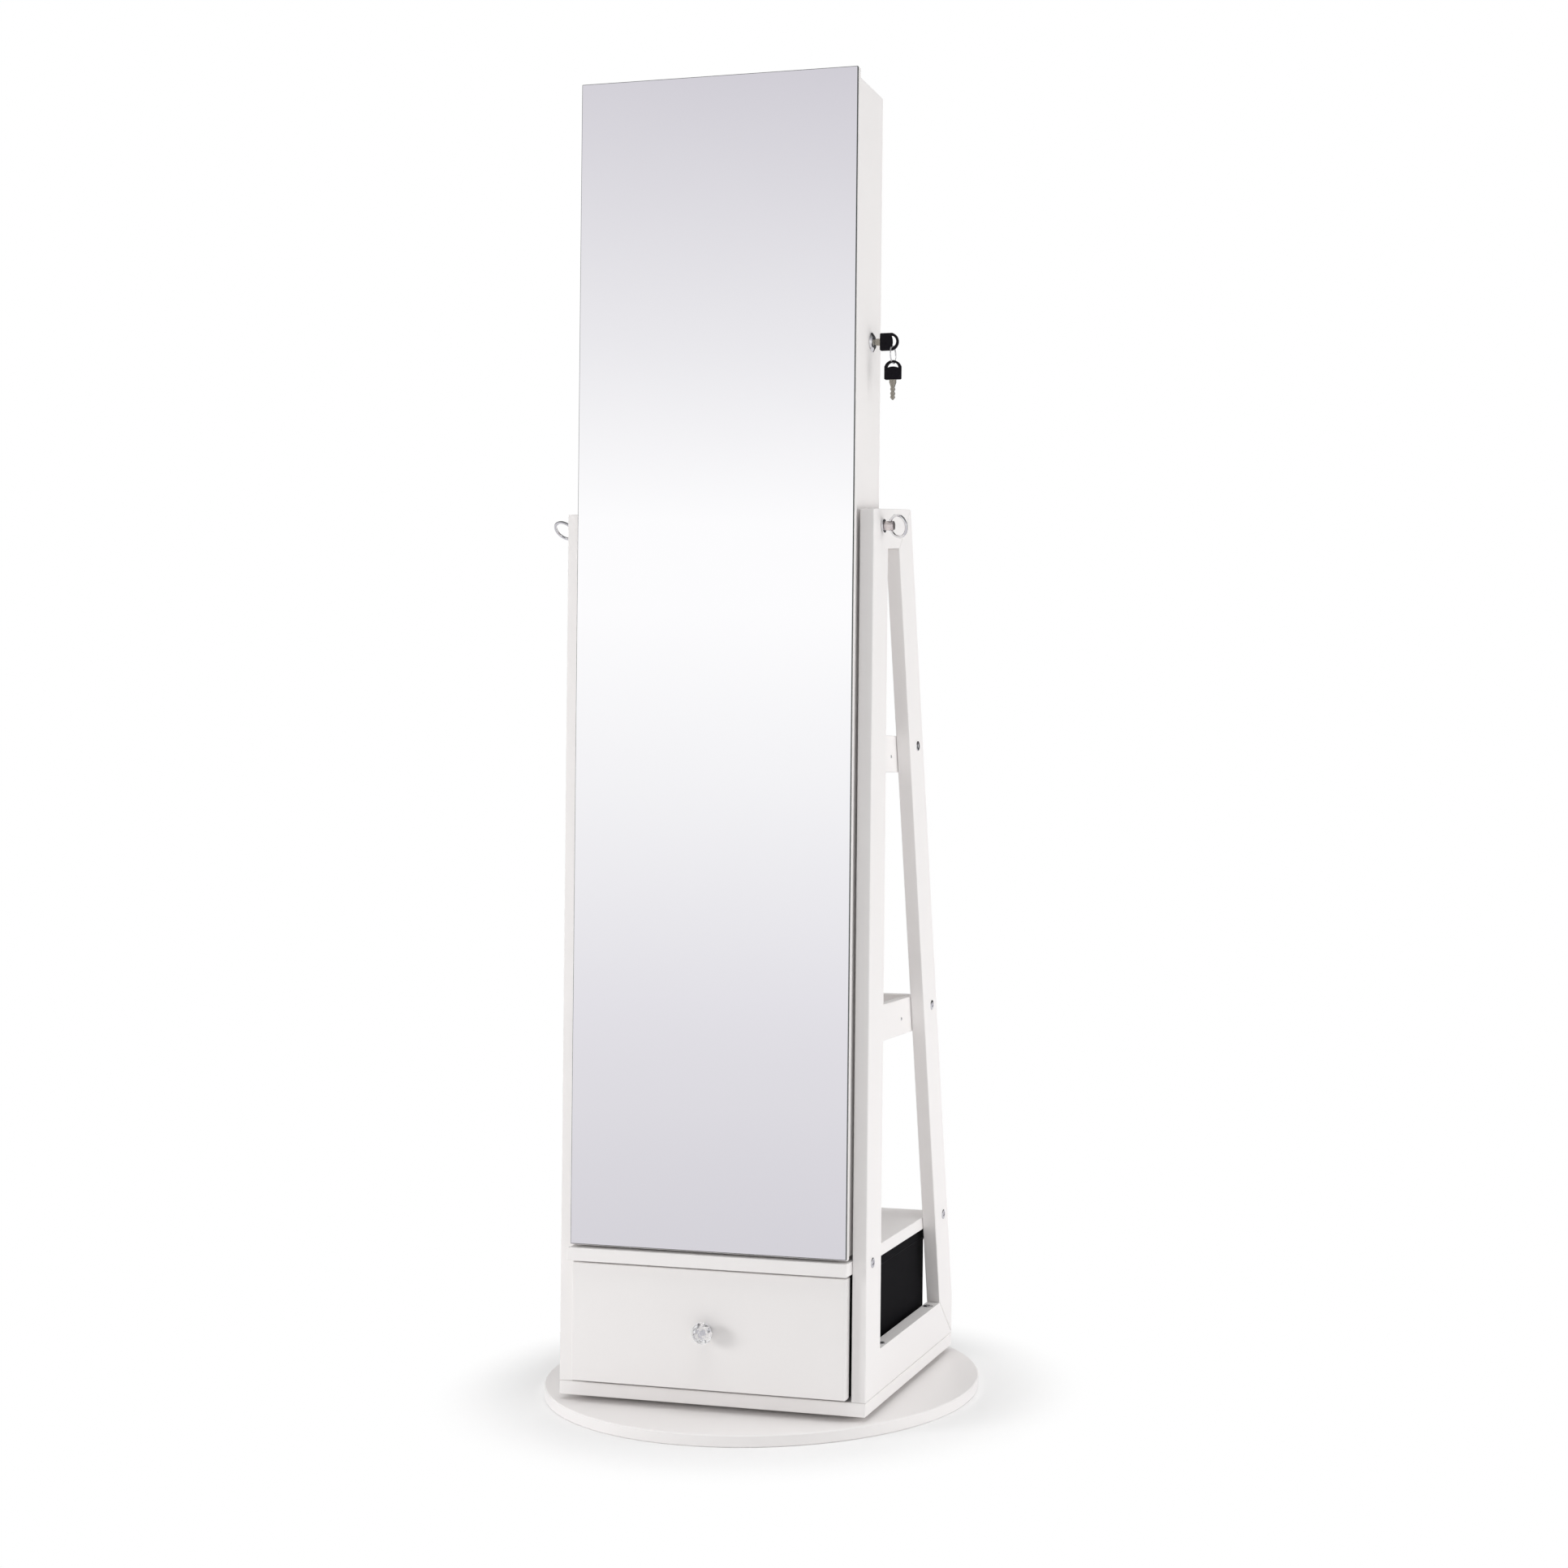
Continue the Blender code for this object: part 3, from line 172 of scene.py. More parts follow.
# %% Ambient light, backdrop and reflections
AMBIENT_LIGHT = 0.50
BACKDROP_LIGHT = 1.0
CURTAIN_WAY = (-0.24, 0.97, 0.0)
CURTAIN_EDGE = (math.cos(math.radians(82)), math.cos(math.radians(58)))
CURTAIN_TONE = 0.08


def reach_along(tree, spot, way):
    """How far a point or a direction reaches along one way."""
    reach = tree.nodes.new("ShaderNodeVectorMath")
    reach.operation = "DOT_PRODUCT"
    reach.inputs[1].default_value = way
    tree.links.new(spot, reach.inputs[0])
    return reach.outputs["Value"]


skies = {}
for word in ("ambient", "backdrop", "reflection"):
    skies[word] = tree.nodes.new("ShaderNodeBackground")
    skies[word].inputs["Color"].default_value = (1.0, 1.0, 1.0, 1.0)
skies["ambient"].inputs["Strength"].default_value = AMBIENT_LIGHT
skies["backdrop"].inputs["Strength"].default_value = BACKDROP_LIGHT
behind = reach_along(tree, way, CURTAIN_WAY)
curtain = remap(tree, behind, *CURTAIN_EDGE, to_low=1.0, to_high=CURTAIN_TONE, kind="SMOOTHSTEP")
tree.links.new(room_colour, skies["reflection"].inputs["Color"])
tree.links.new(curtain, skies["reflection"].inputs["Strength"])
print("skies:", ", ".join(skies))

# %% [markdown]
# ### Which ray sees which sky
#
# Cycles tells a shader what kind of ray is asking. Rays from the camera, and rays that pass through the
# clear knob, see the white backdrop. Rays that bounce off the mirror or the chrome see the fade. All
# others see the ambient light. A ray through clear plastic counts as glossy too, so the fade is only for
# glossy rays that aren't transmission rays.

# %% Mix the skies by ray
def calculate(tree, operation, *values):
    """A Math node. Each value is a socket to link or a plain number."""
    answer = tree.nodes.new("ShaderNodeMath")
    answer.operation = operation
    for entry, value in zip(answer.inputs, values):
        if isinstance(value, bpy.types.NodeSocket):
            tree.links.new(value, entry)
        else:
            entry.default_value = value
    return answer.outputs["Value"]


def mix_shaders(tree, share, first, second):
    mix = tree.nodes.new("ShaderNodeMixShader")
    for entry, socket in zip(mix.inputs, (share, first, second)):
        tree.links.new(socket, entry)
    return mix.outputs["Shader"]


rays = tree.nodes.new("ShaderNodeLightPath").outputs
sees_white = calculate(tree, "MAXIMUM", rays["Is Camera Ray"], rays["Is Transmission Ray"])
bounced = calculate(tree, "GREATER_THAN", rays["Is Glossy Ray"], rays["Is Transmission Ray"])
plain = mix_shaders(tree, sees_white, skies["ambient"].outputs[0], skies["backdrop"].outputs[0])
whole = mix_shaders(tree, bounced, plain, skies["reflection"].outputs[0])
output = tree.nodes.new("ShaderNodeOutputWorld")
tree.links.new(whole, output.inputs["Surface"])
print("world:", len(tree.nodes), "nodes")

# %% [markdown]
# ## The floor
#
# The photograph has no visible floor, only white. A real floor still matters: it throws light up at
# the cabinet and takes the soft shadow under the base. A square plane would do, but a disc has no
# corners that could come into view.

# %% A round floor
FLOOR_RADIUS = 6.0
FLOOR_CORNERS = 96
sketch = bmesh.new()
bmesh.ops.create_circle(sketch, cap_ends=True, radius=FLOOR_RADIUS, segments=FLOOR_CORNERS)
floor_mesh = bpy.data.meshes.new("floor")
sketch.to_mesh(floor_mesh)
sketch.free()
floor = bpy.data.objects.new("floor", floor_mesh)
bpy.context.scene.collection.objects.link(floor)
floor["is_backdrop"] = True
print("floor: a disc", FLOOR_RADIUS * 2, "metres across")

# %% [markdown]
# ### A floor that melts into the background
#
# Close to the cabinet the floor is plain white paint, which can take a shadow. Further out it turns into
# the same white as the backdrop, so its edge never shows. The mirror sees the floor as well, so for
# glossy rays it carries on the room's fade: greyer close by and brighter far away. The stops are metres
# from the cabinet here.

# %% The floor's paint
FLOOR_NEAR = 0.28
FLOOR_FAR = 0.43
FLOOR_PAINT = (0.93, 0.93, 0.93, 1.0)
FLOOR_FADE = (
    (0.3, (0.640, 0.630, 0.665)),
    (1.6, (0.694, 0.682, 0.720)),
    (2.9, (0.737, 0.726, 0.760)),
    (FLOOR_RADIUS, (0.790, 0.780, 0.815)),
)
floor_finish = bpy.data.materials.new("floor_white")
floor_finish.use_nodes = True
floor_mesh.materials.append(floor_finish)
tree = floor_finish.node_tree
tree.nodes.clear()
rays = tree.nodes.new("ShaderNodeLightPath").outputs
reach = tree.nodes.new("ShaderNodeVectorMath")
reach.operation = "LENGTH"
tree.links.new(tree.nodes.new("ShaderNodeNewGeometry").outputs["Position"], reach.inputs[0])
distance = reach.outputs["Value"]
far = remap(tree, distance, FLOOR_NEAR, FLOOR_FAR, kind="SMOOTHSTEP")
sees_white = calculate(tree, "MAXIMUM", rays["Is Camera Ray"], rays["Is Transmission Ray"])
melted = calculate(tree, "MULTIPLY", sees_white, far)
paint = tree.nodes.new("ShaderNodeBsdfDiffuse")
paint.inputs["Color"].default_value = FLOOR_PAINT
white = tree.nodes.new("ShaderNodeEmission")
mirrored = tree.nodes.new("ShaderNodeEmission")
tree.links.new(fade(tree, FLOOR_FADE, distance), mirrored.inputs["Color"])
plain = mix_shaders(tree, melted, paint.outputs[0], white.outputs[0])
whole = mix_shaders(tree, rays["Is Glossy Ray"], plain, mirrored.outputs[0])
output = tree.nodes.new("ShaderNodeOutputMaterial")
tree.links.new(whole, output.inputs["Surface"])
print("floor paint: pure white from", FLOOR_FAR, "metres on")

# %% [markdown]
# ## The lamps
#
# Shadows tell where the lamps stood. The drawer knob throws a short soft shadow to the right, so one
# lamp stands to the left and well in front. The right-hand faces are the brightest, so a second large
# lamp stands square to that side. The third hangs very high, because a low one would burn out the
# cabinet's top before it lit the base. A weak fourth keeps the back and the shelf from going grey. All
# are hidden from the mirror, which would show them as white squares.

# %% Four large soft lamps
LAMPS = (
    ("left_lamp", (-2.25, -1.75, 0.78), 0.9, 28.5),
    ("right_lamp", (3.00, 0.45, 0.95), 2.0, 37.0),
    ("top_lamp", (0.53, -1.59, 9.00), 5.3, 232.0),
    ("back_lamp", (-0.90, 3.00, 1.50), 2.0, 13.0),
)
AIM = Vector((0.0, 0.0, 0.70))
for name, place, side, watts in LAMPS:
    lamp = bpy.data.objects.new(name, bpy.data.lights.new(name, "AREA"))
    lamp.data.shape = "SQUARE"
    lamp.data.size = side
    lamp.data.energy = watts
    lamp.location = place
    lamp.rotation_euler = (AIM - Vector(place)).to_track_quat("-Z", "Y").to_euler()
    lamp.visible_camera = False
    lamp.visible_glossy = False
    lamp.visible_transmission = False
    bpy.context.scene.collection.objects.link(lamp)
    print("lamp:", name, watts, "watts")

# %% [markdown]
# ## Finishes, and the board white first
#
# A finish is a small network of nodes. A picture of the surface would be stuck at one size, but noise in
# the object's own coordinates is measured in metres here, so we can ask for specks of a real size. The
# boards are chipboard under a satin white skin. It isn't one flat white: the tone drifts a little over a
# hand's width, so two whites are blended by slow noise.

# %% A white that drifts
BOARD_DRIFT = 0.30
BOARD_DARK = (0.875, 0.850, 0.840)
BOARD_LIGHT = (0.905, 0.882, 0.874)


def start_finish(name):
    finish = bpy.data.materials.new(name)
    finish.use_nodes = True
    return finish, finish.node_tree, finish.node_tree.nodes["Principled BSDF"]


def specks(tree, size, detail=2.0, stretch=(1.0, 1.0, 1.0)):
    """Noise with specks of about that size in metres."""
    place = tree.nodes.new("ShaderNodeTexCoord")
    scaled = tree.nodes.new("ShaderNodeMapping")
    scaled.inputs["Scale"].default_value = stretch
    grain = tree.nodes.new("ShaderNodeTexNoise")
    grain.inputs["Scale"].default_value = 1.0 / size
    grain.inputs["Detail"].default_value = detail
    tree.links.new(place.outputs["Object"], scaled.inputs["Vector"])
    tree.links.new(scaled.outputs["Vector"], grain.inputs["Vector"])
    return grain.outputs["Fac"]


def blend_colour(tree, mask, dark, light, socket):
    mix = tree.nodes.new("ShaderNodeMix")
    mix.data_type = "RGBA"
    tree.links.new(mask, mix.inputs["Factor"])
    colours = [one for one in mix.inputs if one.type == "RGBA"]
    colours[0].default_value = (*dark, 1.0)
    colours[1].default_value = (*light, 1.0)
    tree.links.new([one for one in mix.outputs if one.type == "RGBA"][0], socket)


board_white, tree, shader = start_finish("satin_white_board")
drift = specks(tree, BOARD_DRIFT, detail=3.0)
blend_colour(tree, drift, BOARD_DARK, BOARD_LIGHT, shader.inputs["Base Color"])
print("board white: the tone drifts over", BOARD_DRIFT, "metres")

# %% [markdown]
# ### Shine and bumps
#
# The white skin has a fine orange peel that breaks up its shine. Real dents so small would need millions
# of faces, so a bump node only tilts the light. The same noise also varies the roughness, so that the
# shine and the bumps agree. Noise seldom leaves the middle of its range, and only that part is used.

# %% Orange peel on the boards
PEEL = 0.0016
PEEL_HEIGHT = 0.000012
BOARD_SPECULAR = 0.25
NOISE_LOW = 0.3
NOISE_HIGH = 0.7


def vary(tree, mask, low, high, socket):
    tree.links.new(remap(tree, mask, NOISE_LOW, NOISE_HIGH, low, high), socket)


def raise_bumps(tree, mask, height, shader):
    bumps = tree.nodes.new("ShaderNodeBump")
    bumps.inputs["Strength"].default_value = 1.0
    bumps.inputs["Distance"].default_value = height
    tree.links.new(mask, bumps.inputs["Height"])
    tree.links.new(bumps.outputs["Normal"], shader.inputs["Normal"])


peel = specks(tree, PEEL)
vary(tree, peel, low=0.36, high=0.50, socket=shader.inputs["Roughness"])
shader.inputs["Specular IOR Level"].default_value = BOARD_SPECULAR
raise_bumps(tree, peel, PEEL_HEIGHT, shader)

BOARDS = [name for name, solid in nodes.items() if solid.active_material.name.startswith("white_board")]
for name in BOARDS:
    nodes[name].material_slots[0].material = board_white
print("white finish on", len(BOARDS), "boards")

# %% [markdown]
# ## The mirror
#
# The mirror is a sheet of silvered glass as large as the door, with ground edges. Seen from the front its
# edges are thin dark lines. One shiny material would miss those lines, so the glass gets two finishes.
# Silver is a metal with hardly any roughness and a breath of haze. The ground edge is dull, with marks
# that run along it, and its near-black colour is painted shade, which draws those dark lines.

# %% Silver and ground glass
silver, tree, shader = start_finish("silvered_glass_face")
haze = specks(tree, size=0.12, detail=3.0)
blend_colour(tree, haze, (0.972, 0.968, 0.982), (0.984, 0.980, 0.992), shader.inputs["Base Color"])
vary(tree, haze, low=0.006, high=0.014, socket=shader.inputs["Roughness"])
shader.inputs["Metallic"].default_value = 1.0

# The ground edge's near-black colour is painted shade for the thin dark lines round the mirror.
glass_edge_painted_shade, tree, shader = start_finish("ground_glass_edge")
grind = specks(tree, size=0.0008, stretch=(1.0, 1.0, 0.2))
blend_colour(tree, grind, (0.045, 0.050, 0.050), (0.095, 0.105, 0.103), shader.inputs["Base Color"])
vary(tree, grind, low=0.25, high=0.45, socket=shader.inputs["Roughness"])
print("glass:", silver.name, "and", glass_edge_painted_shade.name)

# %% [markdown]
# ### From a sketch to a piece
#
# Every new piece starts as a bmesh, a sketch in memory. `add_piece` turns it into a mesh and an object,
# gives it its finishes, and lets it ride on a body so that it moves with the door or the drawer. It can
# also stand for a CAD solid, which is hidden then. The glass is a slab with narrow bevels, and only its
# broad faces are silvered. It stops just short of the door panel's lower edge, which shows there as a
# thin white line.

# %% A sheet of glass with ground edges
GLASS_BEVEL = 0.0009
BROAD_FACE = 0.002
SQUARE_ON = 0.99


def add_piece(name, sketch, finishes, body, stands_for=(), sharp=30.0):
    """Turns a sketch into a piece that rides on a body. Broad faces stay flat, and the others are smooth
    except at edges sharper than that angle."""
    bmesh.ops.recalc_face_normals(sketch, faces=sketch.faces)
    for face in sketch.faces:
        face.smooth = face.calc_area() < BROAD_FACE
    for edge in sketch.edges:
        edge.smooth = len(edge.link_faces) == 2 and edge.calc_face_angle() < math.radians(sharp)
    mesh = bpy.data.meshes.new(name)
    sketch.to_mesh(mesh)
    sketch.free()
    if "custom_normal" in mesh.attributes:
        mesh.attributes.remove(mesh.attributes["custom_normal"])
    for finish in finishes:
        mesh.materials.append(finish)
    piece = bpy.data.objects.new(name, mesh)
    bpy.context.scene.collection.objects.link(piece)
    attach(piece, body)
    if stands_for:
        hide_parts(*stands_for)
    return piece


def slab(low, high):
    sketch = bmesh.new()
    place = Matrix.Translation((low + high) / 2) @ Matrix.Diagonal((*(high - low), 1.0))
    bmesh.ops.create_cube(sketch, size=1.0, matrix=place)
    return sketch


low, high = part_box("door_mirror")
sketch = slab(low, high)
bmesh.ops.bevel(sketch, geom=sketch.edges[:], offset=GLASS_BEVEL, segments=2, affect="EDGES", profile=0.5)
for face in sketch.faces:
    face.material_index = 0 if abs(face.normal.y) > SQUARE_ON else 1
add_piece("mirror_glass", sketch, (silver, glass_edge_painted_shade), "door", ["door_mirror"])
print("mirror:", round(high.x - low.x, 3), "by", round(high.z - low.z, 3), "metres")

# %% [markdown]
# ## Metals
#
# The hardware has four metals. Rings, washers and the lock's rose are bright chrome. The bolts are
# satin, the bearing and hinges are zinc plated, and the keys are cut from a warm nickel alloy. Four
# networks would repeat themselves, so one helper makes them all. Real plating is never perfectly even,
# so each roughness drifts from smooth to rough. The zinc also has a fine brushed grain, which comes from
# noise that is stretched in one direction.

# %% Chrome, satin bolt metal, zinc and key metal
def metal(name, dark, light, smooth, rough, grain, stretch=(1.0, 1.0, 1.0)):
    finish, tree, shader = start_finish(name)
    shader.inputs["Metallic"].default_value = 1.0
    mask = specks(tree, grain, detail=3.0, stretch=stretch)
    blend_colour(tree, mask, dark, light, shader.inputs["Base Color"])
    vary(tree, mask, smooth, rough, shader.inputs["Roughness"])
    return finish


chrome = metal("bright_chrome", dark=(0.74, 0.74, 0.75), light=(0.86, 0.86, 0.87),
               smooth=0.05, rough=0.11, grain=0.004)
satin = metal("satin_bolt_metal", dark=(0.76, 0.695, 0.68), light=(0.86, 0.80, 0.785),
              smooth=0.34, rough=0.48, grain=0.002)
zinc = metal("zinc_plate", dark=(0.50, 0.50, 0.51), light=(0.66, 0.66, 0.67),
             smooth=0.26, rough=0.40, grain=0.003, stretch=(1.0, 1.0, 0.15))
key_metal = metal("nickel_key_metal", dark=(0.27, 0.25, 0.215), light=(0.43, 0.405, 0.355),
                  smooth=0.20, rough=0.34, grain=0.0015)
print("metals:", [finish.name for finish in (chrome, satin, zinc, key_metal)])

# %% [markdown]
# ## Plastics
#
# The keys have moulded black bows, and nylon washers keep the cabinet off the stiles. Moulded plastic
# copies its mould, which is never polished all over, so it has a faint grain. Black needs care: at full
# shine it would reflect the white room and turn grey, so its specular level is turned down.

# %% Black key plastic and white nylon
MOULD_SMOOTH = 0.38
MOULD_ROUGH = 0.55
MOULD_BUMPS = 0.00002


def moulded(name, dark, light, grain, shine=0.5):
    finish, tree, shader = start_finish(name)
    shader.inputs["Specular IOR Level"].default_value = shine
    mask = specks(tree, grain, detail=3.0)
    blend_colour(tree, mask, dark, light, shader.inputs["Base Color"])
    vary(tree, mask, MOULD_SMOOTH, MOULD_ROUGH, shader.inputs["Roughness"])
    raise_bumps(tree, mask, MOULD_BUMPS, shader)
    return finish


key_plastic = moulded("black_key_plastic", dark=(0.0035, 0.0026, 0.0050), light=(0.0075, 0.0060, 0.0095),
                      grain=0.0006, shine=0.12)
nylon = moulded("white_nylon_plastic", dark=(0.74, 0.74, 0.72), light=(0.82, 0.82, 0.80), grain=0.0010)
print("plastics:", key_plastic.name, nylon.name)

# %% [markdown]
# ## Round hardware, smoothed
#
# A CAD solid arrives as flat triangles, which is right for its sizes but shows as facets on a ring or a
# bolt. We may not change a solid, so we take a copy of its triangles, weld them into one skin, round
# the sharp rims a little and shade it smooth. The copy stands for the solid and rides on the same body.
# The last number in each row of the list is how far its rims are rounded, in metres.

# %% Smooth copies of the round solids
WELD = 0.00001
FLAT = math.radians(0.5)
ROUND_PIECES = (
    ("base_disc", board_white, "white_board", 0.0),
    ("swivel_lower_plate", zinc, "bearing_steel", 0.0),
    ("swivel_upper_plate", zinc, "bearing_steel", 0.0),
    ("swivel_ball_ring", zinc, "bearing_steel", 0.0),
    ("drawer_knob_screw", chrome, "chrome", 0.0),
    ("left_tilt_ring", chrome, "chrome", 0.0),
    ("right_tilt_ring", chrome, "chrome", 0.0),
    ("left_tilt_washer", chrome, "chrome", 0.0004),
    ("right_tilt_washer", chrome, "chrome", 0.0004),
    ("left_tilt_bolt", satin, "chrome", 0.0009),
    ("right_tilt_bolt", satin, "chrome", 0.0009),
    ("left_tilt_spacer", nylon, "white_nylon", 0.0004),
    ("right_tilt_spacer", nylon, "white_nylon", 0.0004),
    ("lock_barrel", chrome, "chrome", 0.0002),
    ("lock_plug", chrome, "chrome", 0.0002),
    ("necklace_rail", board_white, "white_board", 0.0),
    ("key_bow", key_plastic, "black_plastic", 0.0007),
    ("spare_key_bow", key_plastic, "black_plastic", 0.0007),
)


def body_of(node):
    return next(body for body, members in frame["record"]["behaviour"]["bodies"].items() if node in members)


def smooth_copy(node, finish, rim=0.0, sharp=25.0):
    sketch = bmesh.new()
    sketch.from_mesh(nodes[node].data)
    bmesh.ops.remove_doubles(sketch, verts=sketch.verts[:], dist=WELD)
    bmesh.ops.dissolve_limit(sketch, angle_limit=FLAT, verts=sketch.verts[:], edges=sketch.edges[:])
    if rim:
        rims = [edge for edge in sketch.edges
                if len(edge.link_faces) == 2 and edge.calc_face_angle() > math.radians(sharp)]
        bmesh.ops.bevel(sketch, geom=rims, offset=rim, segments=2, affect="EDGES", profile=0.5,
                        clamp_overlap=True)
    return add_piece(node + "_finished", sketch, [finish], body_of(node), [node], sharp)


for node, finish, slot, rim in ROUND_PIECES:
    piece = smooth_copy(node, finish, rim)
    print("smoothed:", piece.name, len(piece.data.polygons), "faces")

# %% [markdown]
# ### Flat metal
#
# The hinge leaves, the lock's cam and strike and the key blades are cut from flat metal. Copies would
# gain nothing there, because flat faces look right as they are. These solids stay, and only the material
# in their slot changes.

# %% Hinges, lock and key blades
FLAT_METAL = (
    ("lower_hinge_body_leaf", zinc), ("lower_hinge_door_leaf", zinc), ("upper_hinge_body_leaf", zinc),
    ("upper_hinge_door_leaf", zinc), ("lock_cam", zinc), ("lock_strike", zinc),
    ("key_blade", key_metal), ("spare_key_blade", key_metal),
)
for node, finish in FLAT_METAL:
    nodes[node].material_slots[0].material = finish
print("flat metal:", len(FLAT_METAL), "solids")

# %% [markdown]
# ## Fasteners
#
# Each side frame is held by flanged furniture bolts with a hex socket. A bolt head is a turned shape,
# apart from the socket, whose outline is a hexagon. A cylinder with a Boolean cut would do for one head,
# but there are many. If every ring of the shape has its own rule for the radius, one helper makes both:
# the rim uses a constant, and the socket uses the radius of a hexagon at that angle.

# %% A head with a hex socket
BOLT_STEPS = 36
FLANGE = 0.0065
FLANGE_HEIGHT = 0.0012
HEAD_PROFILE = ((1.0, 0.0), (1.0, 0.35), (0.96, 0.70), (0.86, 0.95), (0.76, 1.0))
SOCKET = 0.0030
SOCKET_TAPER = 0.98
SOCKET_DEPTH = 0.7


def circle(radius):
    return lambda turn: radius


def hexagon(half_flat):
    sixth = math.pi / 3
    return lambda turn: half_flat / math.cos(turn % sixth - sixth / 2)


def skin(sketch, loops):
    """Joins loops of points into one closed skin and caps both ends."""
    rings = [[sketch.verts.new(point) for point in loop] for loop in loops]
    for ring, following in zip(rings, rings[1:]):
        for here in range(len(ring)):
            beside = (here + 1) % len(ring)
            sketch.faces.new((ring[here], ring[beside], following[beside], following[here]))
    sketch.faces.new(list(reversed(rings[0])))
    sketch.faces.new(rings[-1])


def turned(sketch, profile, place, axis, steps=BOLT_STEPS):
    """A turned skin: the profile holds (radius rule, height along the axis)."""
    lean = Vector((0, 0, 1)).rotation_difference(Vector(axis))
    stand = Matrix.Translation(place) @ lean.to_matrix().to_4x4()
    turns = [math.tau * step / steps for step in range(steps)]
    skin(sketch, [[stand @ Vector((rule(turn) * math.cos(turn), rule(turn) * math.sin(turn), height))
                   for turn in turns] for rule, height in profile])


def bolt_head(sketch, place, axis, radius=FLANGE, height=FLANGE_HEIGHT, socket=SOCKET):
    profile = [(circle(radius * wide), height * tall) for wide, tall in HEAD_PROFILE]
    profile.append((hexagon(socket), height))
    profile.append((hexagon(socket * SOCKET_TAPER), height * (1 - SOCKET_DEPTH)))
    turned(sketch, profile, place, axis)


print("bolt head:", FLANGE * 2000, "mm wide, socket", SOCKET * 2000, "mm across its flats")

# %% [markdown]
# ### Bolts in the side frames
#
# Four bolts go in from each side, through the stiles and into the boards and trays behind them. Two more
# go down through each bottom rail. All six heads of a side go into one sketch: they move together, and
# one piece is easier to keep track of than six. The right side's places are mirrored for the left.

# %% Six bolts on each side
RAIL_HEIGHT = 0.053
BOLT_PLACES = ((0.002, 0.836), (0.076, 0.496), (0.139, 0.2086), (-0.1625, 0.2045))
RAIL_BOLT_REACH = 0.103
low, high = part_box("right_side_frame")
rail_middle = (low.x + high.x) / 2
rail_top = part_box("bottom_board")[1].z + RAIL_HEIGHT
for side, word in ((-1, "left"), (1, "right")):
    sketch = bmesh.new()
    for along, up in BOLT_PLACES:
        bolt_head(sketch, (side * high.x, along, up), (side, 0, 0))
    for along in (-RAIL_BOLT_REACH, RAIL_BOLT_REACH):
        bolt_head(sketch, (side * rail_middle, along, rail_top), (0, 0, 1))
    add_piece(word + "_frame_bolts", sketch, [chrome], "frame")
    print("bolts:", len(BOLT_PLACES) + 2, "on the", word)

# %% [markdown]
# ### Screws in the trays and hinges
#
# The same head in smaller sizes gives all the screws, so nothing new has to be modelled. The trays have
# two each. Each hinge leaf has three countersunk ones, which stand out by less than a hair, because the
# two leaves close on each other.

# %% Small screws
SCREW = 0.0021
SCREW_HEIGHT = 0.0009
SCREW_SOCKET = 0.42
TRAY_SCREWS = (("upper", -0.052, 0.8214), ("middle", 0.0014, 0.4843))
LEAF_SEAT = 0.0011
LEAF_MIDDLE = 0.0048
LEAF_SPACING = 0.016
LEAF_SCREW_HEIGHT = 0.00014


def screw_head(sketch, place, axis, radius=SCREW, height=SCREW_HEIGHT):
    bolt_head(sketch, place, axis, radius, height, radius * SCREW_SOCKET)


sketch = bmesh.new()
for word, along, up in TRAY_SCREWS:
    low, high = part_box(word + "_tray_right")
    screw_head(sketch, (high.x, along, up), (1, 0, 0))
    screw_head(sketch, (-high.x, along, up), (-1, 0, 0))
add_piece("tray_screws", sketch, [chrome], "frame")
print("tray screws:", len(TRAY_SCREWS) * 2)

wall_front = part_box("cabinet_left_wall")[0].y
door_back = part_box("door_panel")[1].y
leaf_faces = (("cabinet", "body", wall_front - LEAF_SEAT, -1), ("door", "door", door_back + LEAF_SEAT, 1))
for body, word, face, way in leaf_faces:
    sketch = bmesh.new()
    for which in ("lower", "upper"):
        low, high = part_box(f"{which}_hinge_{word}_leaf")
        for up in (-LEAF_SPACING, 0.0, LEAF_SPACING):
            place = (high.x - LEAF_MIDDLE, face, (low.z + high.z) / 2 + up)
            screw_head(sketch, place, (0, way, 0), SCREW, LEAF_SCREW_HEIGHT)
    add_piece(word + "_hinge_screws", sketch, [chrome], body)
    print("hinge screws in the", word, "leaves: 6")

# %% [markdown]
# ### Screws in the lock
#
# Inside the cabinet the lock's cam is held by one screw in the plug's end, and it turns with the plug, so
# this screw rides on the lock. The strike bracket that the cam catches has two screws, which swing away
# with the door.

# %% One cam screw and two strike screws
CAM_SCREW = 0.0042
CAM_SCREW_HEIGHT = 0.0020
STRIKE_SEAT = 0.0018
STRIKE_SCREW_IN = 0.0050
STRIKE_SCREW_APART = 0.0042
plug_low, plug_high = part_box("lock_plug")
lock_middle = (plug_low + plug_high) / 2
sketch = bmesh.new()
screw_head(sketch, (plug_low.x, lock_middle.y, lock_middle.z), (-1, 0, 0), CAM_SCREW, CAM_SCREW_HEIGHT)
add_piece("lock_cam_screw", sketch, [zinc], "lock")

low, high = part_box("lock_strike")
sketch = bmesh.new()
for up in (-STRIKE_SCREW_APART, STRIKE_SCREW_APART):
    place = (low.x + STRIKE_SCREW_IN, door_back + STRIKE_SEAT, (low.z + high.z) / 2 + up)
    screw_head(sketch, place, (0, 1, 0))
add_piece("strike_screws", sketch, [zinc], "door")
print("lock screws: a cam screw of", CAM_SCREW * 2000, "mm and two in the strike")

# %% [markdown]
# ## The split ring
#
# A key ring is one wire that goes round almost twice and steps sideways once, so that a key can be slid
# on. A torus would lose that step. We sweep a small circle along the wire's path and give the path its
# step with a smooth ramp.

